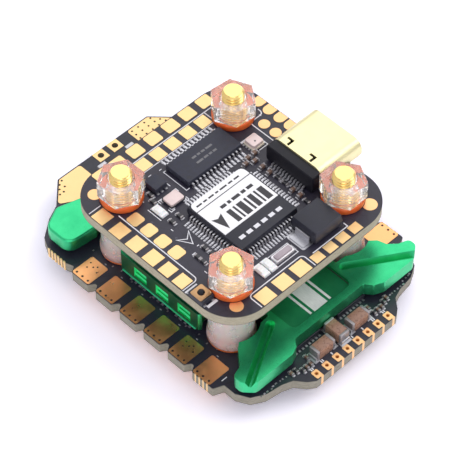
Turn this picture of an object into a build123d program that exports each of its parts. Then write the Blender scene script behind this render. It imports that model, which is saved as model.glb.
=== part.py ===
from build123d import *
import os

# Flight controller and four-in-one speed controller stack.
# Millimetres.  Origin: centre of the 20 x 20 mm screw pattern, on the underside of
# the lower board.  +Z up, +X to the USB side, -Y to the signal pads (the forward
# side), +Y to the battery pads.

os.makedirs("parts", exist_ok=True)

# ---------------------------------------------------------------- dimensions
PITCH = 20.0            # screw pattern
HEAD_B = -2.9           # underside of the screw heads, which the stack stands on
HEAD_T = -1.12          # screw head, upper face
HEAD_R = 2.7
SCREW_R = 1.5           # M3 thread, major radius
SCREW_TIP = 16.7        # top of the thread
TIP_CH = 0.33
PCB_T = 1.6             # both boards
ESC_B = 0.0             # underside of the speed controller board
ESC_T = ESC_B + PCB_T
SP_B = 2.0              # spacer, bottom face
SP_T = 9.5             # spacer, top face
SP_R = 3.0
SP_FOOT_R = 3.22
FC_B = 10.11            # underside of the flight controller board
FC_T = FC_B + PCB_T
GR_T = 12.75            # top of the upper rubber flange
NUT_B = 12.77
NUT_T = 15.6
NUT_CORNER = 3.175      # across flats 5.5
BORE_R = 1.56           # rubber bush and spacer bore
SLEEVE_R = 2.05         # rubber bush where it passes a board
FLANGE_R = 2.9
PAD_T = 0.05            # copper pad height over the board
ESC_CX = -0.25          # centre line of the speed controller board
HS_B = 2.6              # heat sink underside
HS_T = 4.6              # heat sink arms, top
HS_C = 5.8              # heat sink middle block, top
CORNERS = {"front": (-10, -10), "right": (10, -10), "back": (10, 10), "left": (-10, 10)}
NUT_ANG = {"front": 42.9, "right": 1.6, "back": 54.3, "left": 31.2}
PTS = list(CORNERS.values())
MOTOR_Y = [10.25, 5.75, 1.22, -3.28, -7.78, -12.28]
SIG_X = [-6.8 + 1.872 * i for i in range(8)]
SIG_Y = -22.0
MCU = (-1.1, -2.9)      # processor centre
OSD = (2.0, 7.25)       # overlay chip centre
USB_Y = -2.6            # socket centre line
USB_X0, USB_X1 = 9.2, 16.6
BTN = (-14.0, -8.75)   # boot button centre


def tabbed(sign):
    # outline of one long side of the speed controller board, from front to back
    out, rec = ESC_CX + sign * 17.5, ESC_CX + sign * 16.62
    p = [(ESC_CX + sign * 16.05, -15.1), (out, -14.5)]
    for y in reversed(MOTOR_Y):
        if y != MOTOR_Y[-1]:
            p += [(rec, y - 2.05), (out, y - 1.5)]
        p += [(out, y + 1.5), (rec, y + 2.05)]
    p += [(ESC_CX + sign * 17.0, 13.4), (ESC_CX + sign * 17.0, 17.0),
          (ESC_CX + sign * 16.2, 18.6), (ESC_CX + sign * 13.7, 20.5),
          (ESC_CX + sign * 11.4, 21.6), (ESC_CX + sign * 8.2, 24.9)]
    return p


ESC_OUT = ([(ESC_CX - 7.3, -22.8), (ESC_CX - 8.3, -22.1), (ESC_CX - 9.4, -20.7), (ESC_CX - 10.9, -20.15),
            (ESC_CX - 13.3, -19.8), (ESC_CX - 15.1, -18.8), (ESC_CX - 16.05, -17.0)] + tabbed(-1)
           + list(reversed([(ESC_CX + 7.3, -22.8), (ESC_CX + 8.3, -22.1), (ESC_CX + 9.4, -20.7),
                            (ESC_CX + 10.9, -20.15), (ESC_CX + 13.3, -19.8), (ESC_CX + 15.1, -18.8),
                            (ESC_CX + 16.05, -17.0)] + tabbed(1))))

# ================================================================ speed controller board
with BuildPart() as esc_pcb:
    with BuildSketch(Plane.XY.offset(ESC_B)):
        with BuildLine():
            FilletPolyline(*ESC_OUT, radius=0.26, close=True)
        make_face()
        with Locations(*PTS):
            Circle(SLEEVE_R, mode=Mode.SUBTRACT)
        with Locations(*[(x, SIG_Y) for x in SIG_X]):
            Circle(0.28, mode=Mode.SUBTRACT)
        with Locations((-1.37, 24.0), (1.2, 24.0)):
            Circle(0.45, mode=Mode.SUBTRACT)
    extrude(amount=PCB_T)
esc_pcb.part.label = "esc_board"
export_step(esc_pcb.part, "parts/esc_board.step")

with BuildPart() as esc_motor_pads:
    for z in (ESC_T, ESC_B - PAD_T):
        with BuildSketch(Plane.XY.offset(z)):
            with Locations(*[(ESC_CX + s * 15.62, y) for s in (-1, 1) for y in MOTOR_Y]):
                RectangleRounded(3.6, 3.12, 0.3)
        extrude(amount=PAD_T)
esc_motor_pads.part.label = "esc_motor_pads"
export_step(esc_motor_pads.part, "parts/esc_motor_pads.step")

with BuildPart() as esc_battery_pads:
    with BuildSketch(Plane.XY.offset(ESC_T)):
        for s in (-1, 1):
            with BuildLine():
                FilletPolyline((ESC_CX + s * 4.35, 20.0), (ESC_CX + s * 8.3, 20.0), (ESC_CX + s * 11.05, 21.65),
                               (ESC_CX + s * 8.1, 24.7), (ESC_CX + s * 4.35, 24.7), radius=0.4, close=True)
            make_face()
    extrude(amount=PAD_T)
esc_battery_pads.part.label = "esc_battery_pads"
export_step(esc_battery_pads.part, "parts/esc_battery_pads.step")

with BuildPart() as esc_capacitor_pads:
    for z in (ESC_T, ESC_B - PAD_T):
        with BuildSketch(Plane.XY.offset(z)):
            with Locations((-1.37, 24.0), (1.2, 24.0)):
                Rectangle(1.75, 1.75)
                Circle(0.45, mode=Mode.SUBTRACT)
        extrude(amount=PAD_T)
esc_capacitor_pads.part.label = "esc_capacitor_pads"
export_step(esc_capacitor_pads.part, "parts/esc_capacitor_pads.step")

with BuildPart() as esc_signal_pads:
    for z in (ESC_T, ESC_B - PAD_T):
        with BuildSketch(Plane.XY.offset(z)):
            with Locations(*[(x, SIG_Y - 0.12) for x in SIG_X]):
                Rectangle(1.0, 1.3)
            with Locations(*[(x, SIG_Y) for x in SIG_X]):
                Circle(0.28, mode=Mode.SUBTRACT)
        extrude(amount=PAD_T)
esc_signal_pads.part.label = "esc_signal_pads"
export_step(esc_signal_pads.part, "parts/esc_signal_pads.step")

with BuildPart() as esc_grommets:
    # rubber bushes of the lower board: a flange below, a sleeve in the hole, a thin flange above
    with BuildSketch(Plane.XY.offset(HEAD_T + 0.02)):
        with Locations(*PTS):
            Circle(FLANGE_R)
            Circle(BORE_R, mode=Mode.SUBTRACT)
    extrude(amount=ESC_B - HEAD_T - 0.02)
    with BuildSketch(Plane.XY.offset(ESC_B)):
        with Locations(*PTS):
            Circle(SLEEVE_R)
            Circle(BORE_R, mode=Mode.SUBTRACT)
    extrude(amount=PCB_T)
    with BuildSketch(Plane.XY.offset(ESC_T)):
        with Locations(*PTS):
            Circle(SP_FOOT_R + 0.03)
            Circle(BORE_R, mode=Mode.SUBTRACT)
    extrude(amount=SP_B - ESC_T)
esc_grommets.part.label = "esc_grommets"
export_step(esc_grommets.part, "parts/esc_grommets.step")

# power transistors: twelve above under the heat sink, twelve below
MOS = [(ESC_CX + s * x, y) for s in (-1, 1) for x in (11.0, 7.4) for y in (-4.2, 0.0, 4.2)]
with BuildPart() as esc_mosfets_top:
    with BuildSketch(Plane.XY.offset(ESC_T)):
        with Locations(*MOS):
            Rectangle(3.3, 3.3)
    extrude(amount=0.85)
esc_mosfets_top.part.label = "esc_mosfets_top"
export_step(esc_mosfets_top.part, "parts/esc_mosfets_top.step")

with BuildPart() as esc_mosfets_bottom:
    with BuildSketch(Plane.XY.offset(ESC_B - 0.85)):
        with Locations(*MOS):
            Rectangle(3.3, 3.3)
    extrude(amount=0.85)
esc_mosfets_bottom.part.label = "esc_mosfets_bottom"
export_step(esc_mosfets_bottom.part, "parts/esc_mosfets_bottom.step")

with BuildPart() as esc_thermal_pads:
    with BuildSketch(Plane.XY.offset(ESC_T + 0.85)):
        with Locations((ESC_CX - 9.2, 0), (ESC_CX + 9.2, 0)):
            Rectangle(7.0, 12.0)
    extrude(amount=HS_B - ESC_T - 0.85)
esc_thermal_pads.part.label = "esc_thermal_pads"
export_step(esc_thermal_pads.part, "parts/esc_thermal_pads.step")

with BuildPart() as esc_processors:
    # four 5 x 5 mm motor processors, two of them seen in front of the heat sink
    with BuildSketch(Plane.XY.offset(ESC_T)):
        with Locations(*[(ESC_CX + s * 4.05, y) for s in (-1, 1) for y in (-15.45, 15.45)]):
            Rectangle(5.0, 5.0)
    extrude(amount=0.85)
esc_processors.part.label = "esc_processors"
export_step(esc_processors.part, "parts/esc_processors.step")

with BuildPart() as esc_gate_drivers:
    with BuildSketch(Plane.XY.offset(ESC_B - 0.85)):
        with Locations(*[(ESC_CX + s * 3.2, y) for s in (-1, 1) for y in (-12.0, 12.0)]):
            Rectangle(4.0, 4.0)
    extrude(amount=0.85)
esc_gate_drivers.part.label = "esc_gate_drivers"
export_step(esc_gate_drivers.part, "parts/esc_gate_drivers.step")

with BuildPart() as esc_ceramic_capacitors:
    # three large ceramic capacitors between the heat sink and the signal pads
    with BuildSketch(Plane.XY.offset(ESC_T)):
        with Locations((-3.75, -20.0), (2.65, -20.0)):
            Rectangle(3.2, 1.6)
        with Locations((-0.6, -19.45)):
            Rectangle(1.6, 3.1)
    extrude(amount=1.65)
esc_ceramic_capacitors.part.label = "esc_ceramic_capacitors"
export_step(esc_ceramic_capacitors.part, "parts/esc_ceramic_capacitors.step")

with BuildPart() as esc_current_shunt:
    with BuildSketch(Plane.XY.offset(ESC_T)):
        with Locations((-0.25, 20.9)):
            Rectangle(6.4, 3.2)
    extrude(amount=0.8)
esc_current_shunt.part.label = "esc_current_shunt"
export_step(esc_current_shunt.part, "parts/esc_current_shunt.step")

with BuildPart() as esc_bulk_capacitors:
    # row of ceramic capacitors below, beside the battery pads
    with BuildSketch(Plane.XY.offset(ESC_B - 1.6)):
        with Locations(*[(x, 17.6) for x in (-4.6, -1.7, 1.2, 4.1)]):
            Rectangle(1.6, 3.2)
    extrude(amount=1.6)
esc_bulk_capacitors.part.label = "esc_bulk_capacitors"
export_step(esc_bulk_capacitors.part, "parts/esc_bulk_capacitors.step")

ESC_SMALL = ([(x, -20.5) for x in (-7.7, -7.0, -6.3)] + [(-8.4, -19.95), (-5.95, -19.4), (5.3, -19.4)]
             + [(x, -20.5) for x in (5.35, 6.05, 6.75)] + [(7.5, -20.1), (-9.1, -20.2 + 0.35), (8.2, -19.9)])
with BuildPart() as esc_small_parts:
    with BuildSketch(Plane.XY.offset(ESC_T)):
        with Locations(*ESC_SMALL):
            Rectangle(0.4, 0.75)
    extrude(amount=0.4)
esc_small_parts.part.label = "esc_small_parts"
export_step(esc_small_parts.part, "parts/esc_small_parts.step")

# ================================================================ heat sink
with BuildPart() as heat_sink:
    # arms and waist
    with BuildSketch(Plane.XY.offset(HS_B)) as hs_plan:
        with BuildLine():
            FilletPolyline((-16.1, -16.5), (-16.1, -17.9), (-14.8, -19.3), (-8.4, -19.3), (-7.2, -18.8), (-6.5, -17.8),
                           (6.0, -17.8), (6.8, -18.9), (8.2, -19.5), (13.6, -19.5), (15.6, -18.1), (15.6, -16.9),
                           (14.1, -16.4), (13.0, -15.4), (12.6, -14.1), (11.6, -13.2), (-11.8, -13.2), (-12.7, -13.9),
                           (-14.4, -16.0), radius=0.28, close=True)
        make_face()
        with BuildLine():
            FilletPolyline((-16.3, 14.9), (-15.2, 14.1), (-13.0, 13.5), (-11.8, 13.2), (11.4, 13.2), (12.6, 13.5),
                           (14.7, 14.1), (15.8, 14.9), (15.8, 17.0), (14.2, 19.0), (11.8, 19.4), (9.2, 18.4),
                           (-9.7, 18.4), (-12.3, 19.4), (-14.7, 19.0), (-16.3, 17.0), radius=0.3, close=True)
        make_face()
        Rectangle(12.6, 30.0)
        with Locations((-0.15, 0)):
            Rectangle(26.1, 14.8)
        with Locations(*PTS):
            Circle(3.75, mode=Mode.SUBTRACT)
    extrude(amount=HS_T - HS_B)
    # raised middle block
    with BuildSketch(Plane.XY.offset(HS_T)):
        with Locations((-0.15, 0)):
            RectangleRounded(26.1, 14.8, 0.5)
        with Locations(*PTS):
            Circle(3.75, mode=Mode.SUBTRACT)
    extrude(amount=HS_C - HS_T)
    # shallow pocket in the front bridge, open towards the middle block
    with BuildSketch(Plane.XY.offset(HS_T - 0.5)):
        with Locations((-0.2, -12.05)):
            RectangleRounded(10.6, 9.3, 0.9)
    extrude(amount=0.5, mode=Mode.SUBTRACT)
    chamfer(heat_sink.faces().sort_by(Axis.Z)[-1].edges().filter_by(Axis.Y), 0.3)
    # diagonal V grooves in the two front arms
    for a, b in (((-6.6, -13.9), (-16.6, -19.4)), ((5.9, -13.9), (15.9, -20.1))):
        d = Vector(b[0] - a[0], b[1] - a[1], 0)
        with BuildSketch(Plane(origin=(a[0], a[1], HS_T), x_dir=Vector(-d.Y, d.X, 0), z_dir=d)):
            with BuildLine():
                Polyline((-0.62, 0.3), (-0.62, 0.0), (0, -0.95), (0.62, 0.0), (0.62, 0.3), close=True)
            make_face()
        extrude(amount=d.length, mode=Mode.SUBTRACT)
    # three ventilation pockets in each long side of the middle block
    for s, xs in ((-1, -13.2), (1, 12.9)):
        with BuildSketch(Plane.XY.offset(HS_B + 0.75)):
            with Locations(*[(xs, y) for y in (-4.65, -0.6, 3.45)]):
                Rectangle(2.4, 2.3)
        extrude(amount=4, mode=Mode.SUBTRACT)
heat_sink.part.label = "heat_sink"
export_step(heat_sink.part, "parts/heat_sink.step")

# ================================================================ spacers and bushes
with BuildPart() as spacers:
    # four clear spacers between the boards, slightly flared at the foot
    for x, y in PTS:
        with BuildSketch(Plane(origin=(x, y, 0), x_dir=(1, 0, 0), z_dir=(0, -1, 0))):
            with BuildLine():
                Polyline((1.6, SP_B), (SP_FOOT_R, SP_B), (SP_FOOT_R, SP_B + 0.9), (SP_R, SP_B + 1.35),
                         (SP_R, SP_T - 0.2), (SP_R - 0.2, SP_T), (1.6, SP_T), close=True)
            make_face()
        revolve(axis=Axis((x, y, 0), (0, 0, 1)))
spacers.part.label = "board_spacers"
export_step(spacers.part, "parts/board_spacers.step")

with BuildPart() as fc_grommets:
    # rubber bushes of the upper board
    with BuildSketch(Plane.XY.offset(SP_T)):
        with Locations(*PTS):
            Circle(FLANGE_R)
            Circle(BORE_R, mode=Mode.SUBTRACT)
    extrude(amount=FC_B - SP_T)
    with BuildSketch(Plane.XY.offset(FC_B)):
        with Locations(*PTS):
            Circle(SLEEVE_R)
            Circle(BORE_R, mode=Mode.SUBTRACT)
    extrude(amount=PCB_T)
    for x, y in PTS:
        with BuildSketch(Plane(origin=(x, y, 0), x_dir=(1, 0, 0), z_dir=(0, -1, 0))):
            with BuildLine():
                Polyline((BORE_R, FC_T), (FLANGE_R - 0.1, FC_T), (FLANGE_R, FC_T + 0.15), (FLANGE_R, GR_T - 0.25),
                         (FLANGE_R - 0.25, GR_T), (BORE_R, GR_T), close=True)
            make_face()
        revolve(axis=Axis((x, y, 0), (0, 0, 1)))
fc_grommets.part.label = "fc_grommets"
export_step(fc_grommets.part, "parts/fc_grommets.step")

# ================================================================ screws and nuts
# each screw stands head down; its nut climbs when the screw turns
x, y = CORNERS["front"]
with BuildPart() as screw_front:
    with BuildSketch(Plane(origin=(x, y, 0), x_dir=(1, 0, 0), z_dir=(0, -1, 0))):
        with BuildLine():
            Polyline((0, HEAD_B), (HEAD_R - 0.9, HEAD_B), (HEAD_R - 0.25, HEAD_B + 0.45), (HEAD_R, HEAD_B + 1.05),
                     (HEAD_R, HEAD_T), (SCREW_R, HEAD_T),
                     (SCREW_R, SCREW_TIP - TIP_CH), (SCREW_R - TIP_CH, SCREW_TIP), (0, SCREW_TIP), close=True)
        make_face()
    revolve(axis=Axis((x, y, 0), (0, 0, 1)))
    with BuildSketch(Plane.XY.offset(HEAD_B)):
        with Locations((x, y)):
            RegularPolygon(1.155, 6)
    extrude(amount=1.0, mode=Mode.SUBTRACT)
screw_front.part.label = "screw_front"
export_step(screw_front.part, "parts/screw_front.step")

x, y = CORNERS["right"]
with BuildPart() as screw_right:
    with BuildSketch(Plane(origin=(x, y, 0), x_dir=(1, 0, 0), z_dir=(0, -1, 0))):
        with BuildLine():
            Polyline((0, HEAD_B), (HEAD_R - 0.9, HEAD_B), (HEAD_R - 0.25, HEAD_B + 0.45), (HEAD_R, HEAD_B + 1.05),
                     (HEAD_R, HEAD_T), (SCREW_R, HEAD_T),
                     (SCREW_R, SCREW_TIP - TIP_CH), (SCREW_R - TIP_CH, SCREW_TIP), (0, SCREW_TIP), close=True)
        make_face()
    revolve(axis=Axis((x, y, 0), (0, 0, 1)))
    with BuildSketch(Plane.XY.offset(HEAD_B)):
        with Locations((x, y)):
            RegularPolygon(1.155, 6)
    extrude(amount=1.0, mode=Mode.SUBTRACT)
screw_right.part.label = "screw_right"
export_step(screw_right.part, "parts/screw_right.step")

x, y = CORNERS["back"]
with BuildPart() as screw_back:
    with BuildSketch(Plane(origin=(x, y, 0), x_dir=(1, 0, 0), z_dir=(0, -1, 0))):
        with BuildLine():
            Polyline((0, HEAD_B), (HEAD_R - 0.9, HEAD_B), (HEAD_R - 0.25, HEAD_B + 0.45), (HEAD_R, HEAD_B + 1.05),
                     (HEAD_R, HEAD_T), (SCREW_R, HEAD_T),
                     (SCREW_R, SCREW_TIP - TIP_CH), (SCREW_R - TIP_CH, SCREW_TIP), (0, SCREW_TIP), close=True)
        make_face()
    revolve(axis=Axis((x, y, 0), (0, 0, 1)))
    with BuildSketch(Plane.XY.offset(HEAD_B)):
        with Locations((x, y)):
            RegularPolygon(1.155, 6)
    extrude(amount=1.0, mode=Mode.SUBTRACT)
screw_back.part.label = "screw_back"
export_step(screw_back.part, "parts/screw_back.step")

x, y = CORNERS["left"]
with BuildPart() as screw_left:
    with BuildSketch(Plane(origin=(x, y, 0), x_dir=(1, 0, 0), z_dir=(0, -1, 0))):
        with BuildLine():
            Polyline((0, HEAD_B), (HEAD_R - 0.9, HEAD_B), (HEAD_R - 0.25, HEAD_B + 0.45), (HEAD_R, HEAD_B + 1.05),
                     (HEAD_R, HEAD_T), (SCREW_R, HEAD_T),
                     (SCREW_R, SCREW_TIP - TIP_CH), (SCREW_R - TIP_CH, SCREW_TIP), (0, SCREW_TIP), close=True)
        make_face()
    revolve(axis=Axis((x, y, 0), (0, 0, 1)))
    with BuildSketch(Plane.XY.offset(HEAD_B)):
        with Locations((x, y)):
            RegularPolygon(1.155, 6)
    extrude(amount=1.0, mode=Mode.SUBTRACT)
screw_left.part.label = "screw_left"
export_step(screw_left.part, "parts/screw_left.step")

for name, (x, y) in CORNERS.items():
    with BuildPart() as nut:
        # clear plastic hexagon nut with turned corners
        with BuildSketch(Plane.XY.offset(NUT_B)):
            with Locations((x, y)):
                RegularPolygon(NUT_CORNER, 6, rotation=NUT_ANG[name])
        extrude(amount=NUT_T - NUT_B)
        with BuildSketch(Plane(origin=(x, y, 0), x_dir=(1, 0, 0), z_dir=(0, -1, 0))):
            with BuildLine():
                Polyline((0, NUT_B), (NUT_CORNER - 0.22, NUT_B), (NUT_CORNER, NUT_B + 0.16),
                         (NUT_CORNER, NUT_T - 0.3), (NUT_CORNER - 0.42, NUT_T), (0, NUT_T), close=True)
            make_face()
        revolve(axis=Axis((x, y, 0), (0, 0, 1)), mode=Mode.INTERSECT)
        with Locations((x, y, NUT_T)):
            Hole(SCREW_R + 0.03, depth=NUT_T - NUT_B)
    nut.part.label = "nut_" + name
    export_step(nut.part, "parts/nut_" + name + ".step")

# ================================================================ flight controller board
with BuildPart() as fc_pcb:
    with BuildSketch(Plane.XY.offset(FC_B)):
        with Locations((-0.05, 0.12)):
            RectangleRounded(30.1, 30.95, 5.4)
        with Locations(*PTS):
            Circle(SLEEVE_R, mode=Mode.SUBTRACT)
    extrude(amount=PCB_T)
fc_pcb.part.label = "fc_board"
export_step(fc_pcb.part, "parts/fc_board.step")

with BuildPart() as fc_pads_left:
    with BuildSketch(Plane.XY.offset(FC_T)):
        with Locations(*[(-13.98, y) for y in (9.3, 6.05, 3.0, -0.1)]):
            Rectangle(2.1, 2.1)
        with Locations(*[(-13.98, y) for y in (-2.8, -5.35)]):
            Rectangle(1.95, 1.85)
        with Locations(*[(-11.3, y) for y in (6.0, 3.5, 0.98, -1.55)]):
            RectangleRounded(1.9, 1.85, 0.4)
    extrude(amount=PAD_T)
fc_pads_left.part.label = "fc_pads_left"
export_step(fc_pads_left.part, "parts/fc_pads_left.step")

with BuildPart() as fc_pads_back:
    with BuildSketch(Plane.XY.offset(FC_T)):
        with Locations(*[(x, 14.5) for x in (-9.3, -6.4, -3.4, -0.25, 2.9, 5.95, 9.1)]):
            RectangleRounded(2.15, 1.9, 0.3)
        with Locations(*[(x, 12.05) for x in (-4.3, -1.65, 0.95, 3.7, 6.4)]):
            RectangleRounded(1.85, 1.85, 0.12)
    extrude(amount=PAD_T)
fc_pads_back.part.label = "fc_pads_back"
export_step(fc_pads_back.part, "parts/fc_pads_back.step")

with BuildPart() as fc_pads_front:
    with BuildSketch(Plane.XY.offset(FC_T)):
        with Locations(*[(x, -14.25) for x in (-8.3, -5.15, -2.05)]):
            Rectangle(2.25, 2.05)
        with Locations(*[(x, -14.5) for x in (0.75, 3.05, 5.3, 7.55)]):
            Rectangle(1.6, 1.4)
    extrude(amount=PAD_T)
fc_pads_front.part.label = "fc_pads_front"
export_step(fc_pads_front.part, "parts/fc_pads_front.step")

with BuildPart() as fc_pads_round:
    with BuildSketch(Plane.XY.offset(FC_T)):
        with Locations((-12.2, 12.75), (-11.95, -12.9)):
            Circle(0.9)
        with Locations((11.7, -13.15)):
            Circle(1.0)
        with Locations((11.9, 6.1), (11.9, 4.0)):
            Circle(0.8)
        with Locations(*[(14.1, y) for y in (9.45, 7.45, 5.45, 3.55)]):
            Circle(0.8)
        with Locations(*[(14.5, y) for y in (9.45, 7.45, 5.45, 3.55)]):
            Rectangle(0.84, 1.6)
        with Locations(*PTS):
            Circle(FLANGE_R + 0.03, mode=Mode.SUBTRACT)
    extrude(amount=PAD_T)
fc_pads_round.part.label = "fc_pads_round"
export_step(fc_pads_round.part, "parts/fc_pads_round.step")

# ---------------------------------------------------------------- processor
with BuildPart() as mcu_body:
    with BuildSketch(Plane.XY.offset(FC_T + 0.72)):
        with Locations(MCU):
            Rectangle(10.0, 10.0)
    extrude(amount=0.73, taper=8)
    extrude(faces().sort_by(Axis.Z)[0], amount=0.62, taper=8)
mcu_body.part.label = "processor_body"
export_step(mcu_body.part, "parts/processor_body.step")

LEAD = [(0.0, 0.65), (0.0, 0.79), (0.42, 0.79), (0.68, 0.14), (1.2, 0.14), (1.2, 0.0), (0.58, 0.0), (0.32, 0.65)]
with BuildPart() as mcu_leads:
    planes = []
    for i in range(16):
        o = (i - 7.5) * 0.5
        planes += [Plane(origin=(MCU[0] + 5.0, MCU[1] + o, FC_T + 0.01), x_dir=(1, 0, 0), z_dir=(0, -1, 0)),
                   Plane(origin=(MCU[0] - 5.0, MCU[1] + o, FC_T + 0.01), x_dir=(-1, 0, 0), z_dir=(0, 1, 0)),
                   Plane(origin=(MCU[0] + o, MCU[1] + 5.0, FC_T + 0.01), x_dir=(0, 1, 0), z_dir=(1, 0, 0)),
                   Plane(origin=(MCU[0] + o, MCU[1] - 5.0, FC_T + 0.01), x_dir=(0, -1, 0), z_dir=(-1, 0, 0))]
    with BuildSketch(*planes):
        with BuildLine():
            Polyline(*LEAD, close=True)
        make_face()
    extrude(amount=0.11, both=True)
mcu_leads.part.label = "processor_leads"
export_step(mcu_leads.part, "parts/processor_leads.step")

with BuildPart() as mcu_label:
    with BuildSketch(Plane.XY.offset(FC_T + 1.45)):
        with Locations((MCU[0] + 0.0, MCU[1] + 1.55)):
            Rectangle(9.4, 6.65)
    extrude(amount=0.04)
    fillet(mcu_label.edges().filter_by(Axis.Z).sort_by(Axis.Y)[-2:], 0.8)
mcu_label.part.label = "processor_label"
export_step(mcu_label.part, "parts/processor_label.step")

# ---------------------------------------------------------------- overlay chip
with BuildPart() as osd_body:
    with BuildSketch(Plane.XY.offset(FC_T + 0.5)):
        with Locations(OSD):
            Rectangle(9.7, 4.4)
    extrude(amount=0.48, taper=8)
    extrude(faces().sort_by(Axis.Z)[0], amount=0.42, taper=8)
osd_body.part.label = "overlay_chip_body"
export_step(osd_body.part, "parts/overlay_chip_body.step")

OLEAD = [(0.0, 0.43), (0.0, 0.56), (0.3, 0.56), (0.52, 0.13), (1.0, 0.13), (1.0, 0.0), (0.43, 0.0), (0.22, 0.43)]
with BuildPart() as osd_leads:
    planes = []
    for i in range(14):
        o = (i - 6.5) * 0.65
        planes += [Plane(origin=(OSD[0] + o, OSD[1] + 2.2, FC_T + 0.01), x_dir=(0, 1, 0), z_dir=(1, 0, 0)),
                   Plane(origin=(OSD[0] + o, OSD[1] - 2.2, FC_T + 0.01), x_dir=(0, -1, 0), z_dir=(-1, 0, 0))]
    with BuildSketch(*planes):
        with BuildLine():
            Polyline(*OLEAD, close=True)
        make_face()
    extrude(amount=0.13, both=True)
osd_leads.part.label = "overlay_chip_leads"
export_step(osd_leads.part, "parts/overlay_chip_leads.step")

# ---------------------------------------------------------------- sensors, crystals, power parts
with BuildPart() as barometer:
    with BuildSketch(Plane.XY.offset(FC_T)):
        with Locations((8.5, 4.6)):
            RectangleRounded(2.0, 2.0, 0.2)
    extrude(amount=0.85)
    with Locations((8.45, 4.3, FC_T + 0.85)):
        Hole(0.14, depth=0.4)
barometer.part.label = "barometer"
export_step(barometer.part, "parts/barometer.step")

with BuildPart() as gyro:
    with BuildSketch(Plane.XY.offset(FC_T)):
        with Locations((-5.65, 8.3)):
            Rectangle(2.1, 2.3)
    extrude(amount=0.95)
gyro.part.label = "gyro_sensor"
export_step(gyro.part, "parts/gyro_sensor.step")

with BuildPart() as crystals:
    # square can beside the overlay chip and long can beside the processor
    with BuildSketch(Plane.XY.offset(FC_T)):
        with Locations((-5.65, 4.95)):
            RectangleRounded(2.5, 2.0, 0.25)
    extrude(amount=0.65)
    with BuildSketch(Plane.XY.offset(FC_T)):
        with Locations((-2.2, -11.25)):
            RectangleRounded(3.2, 1.25, 0.35)
    extrude(amount=0.75)
crystals.part.label = "crystals"
export_step(crystals.part, "parts/crystals.step")

with BuildPart() as power_block:
    # moulded rectifier body with a chamfered top edge
    with BuildSketch(Plane.XY.offset(FC_T + 0.12)):
        with Locations((4.17, -10.95)):
            Rectangle(4.94, 4.5)
    extrude(amount=2.2)
    chamfer(power_block.faces().sort_by(Axis.Z)[-1].edges(), 0.22)
power_block.part.label = "rectifier_body"
export_step(power_block.part, "parts/rectifier_body.step")

with BuildPart() as power_tabs:
    with BuildSketch(Plane.XY.offset(FC_T)):
        with Locations((1.2, -11.0)):
            Rectangle(1.8, 3.0)
        with Locations((6.8, -11.6)):
            Rectangle(0.36, 2.0)
    extrude(amount=0.12)
    with BuildSketch(Plane.XY.offset(FC_T + 0.12)):
        with Locations((1.58, -11.0)):
            Rectangle(0.24, 2.4)
        with Locations((6.7, -11.7)):
            Rectangle(0.12, 1.8)
    extrude(amount=1.2)
power_tabs.part.label = "rectifier_tabs"
export_step(power_tabs.part, "parts/rectifier_tabs.step")

with BuildPart() as status_leds:
    with BuildSketch(Plane.XY.offset(FC_T)):
        with Locations((-8.25, 4.8), (-5.85, -11.15), (-4.55, -11.15)):
            Rectangle(1.1, 2.0)
    extrude(amount=0.55)
status_leds.part.label = "status_leds"
export_step(status_leds.part, "parts/status_leds.step")

FC_CAPS = ([(6.35, 2.3), (6.35, 0.9), (6.35, -0.4), (6.35, -4.6), (6.35, -5.9)]
           + [(5.15, 2.75), (7.3, 3.3), (6.0, 3.3)])
with BuildPart() as fc_capacitors:
    with BuildSketch(Plane.XY.offset(FC_T)):
        with Locations(*FC_CAPS):
            Rectangle(1.0, 0.5)
    extrude(amount=0.5)
fc_capacitors.part.label = "fc_capacitors"
export_step(fc_capacitors.part, "parts/fc_capacitors.step")

FC_RES = [(-8.3, 2.4), (-6.95, 2.45), (-7.75, 6.5), (-7.2, 7.6), (-8.35, -3.6), (-8.3, -4.9), (-7.6, -6.1),
          (6.5, -1.75), (6.5, -3.1), (6.3, -7.2), (-10.0, -5.0), (-10.0, -4.0)]
with BuildPart() as fc_resistors:
    with BuildSketch(Plane.XY.offset(FC_T)):
        with Locations(*FC_RES):
            Rectangle(0.5, 1.0)
    extrude(amount=0.35)
fc_resistors.part.label = "fc_resistors"
export_step(fc_resistors.part, "parts/fc_resistors.step")

# ---------------------------------------------------------------- USB socket
USB_Z = FC_T + 1.63
with BuildPart() as usb_shell:
    with BuildSketch(Plane(origin=(USB_X0, USB_Y, USB_Z), x_dir=(0, 1, 0), z_dir=(1, 0, 0))):
        RectangleRounded(8.94, 3.26, 1.45)
        RectangleRounded(8.34, 2.66, 1.2, mode=Mode.SUBTRACT)
    extrude(amount=USB_X1 - USB_X0)
    # latch windows in the roof
    with BuildSketch(Plane.XY.offset(USB_Z + 1.0)):
        with Locations((USB_X0 + 0.75, USB_Y + 2.0), (USB_X0 + 0.75, USB_Y - 2.0)):
            Rectangle(1.15, 0.38)
        with Locations((USB_X0 + 1.15, USB_Y + 2.35), (USB_X0 + 1.15, USB_Y - 1.65)):
            Rectangle(0.36, 1.05)
    extrude(amount=1.0, mode=Mode.SUBTRACT)
usb_shell.part.label = "usb_shell"
export_step(usb_shell.part, "parts/usb_shell.step")

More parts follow.
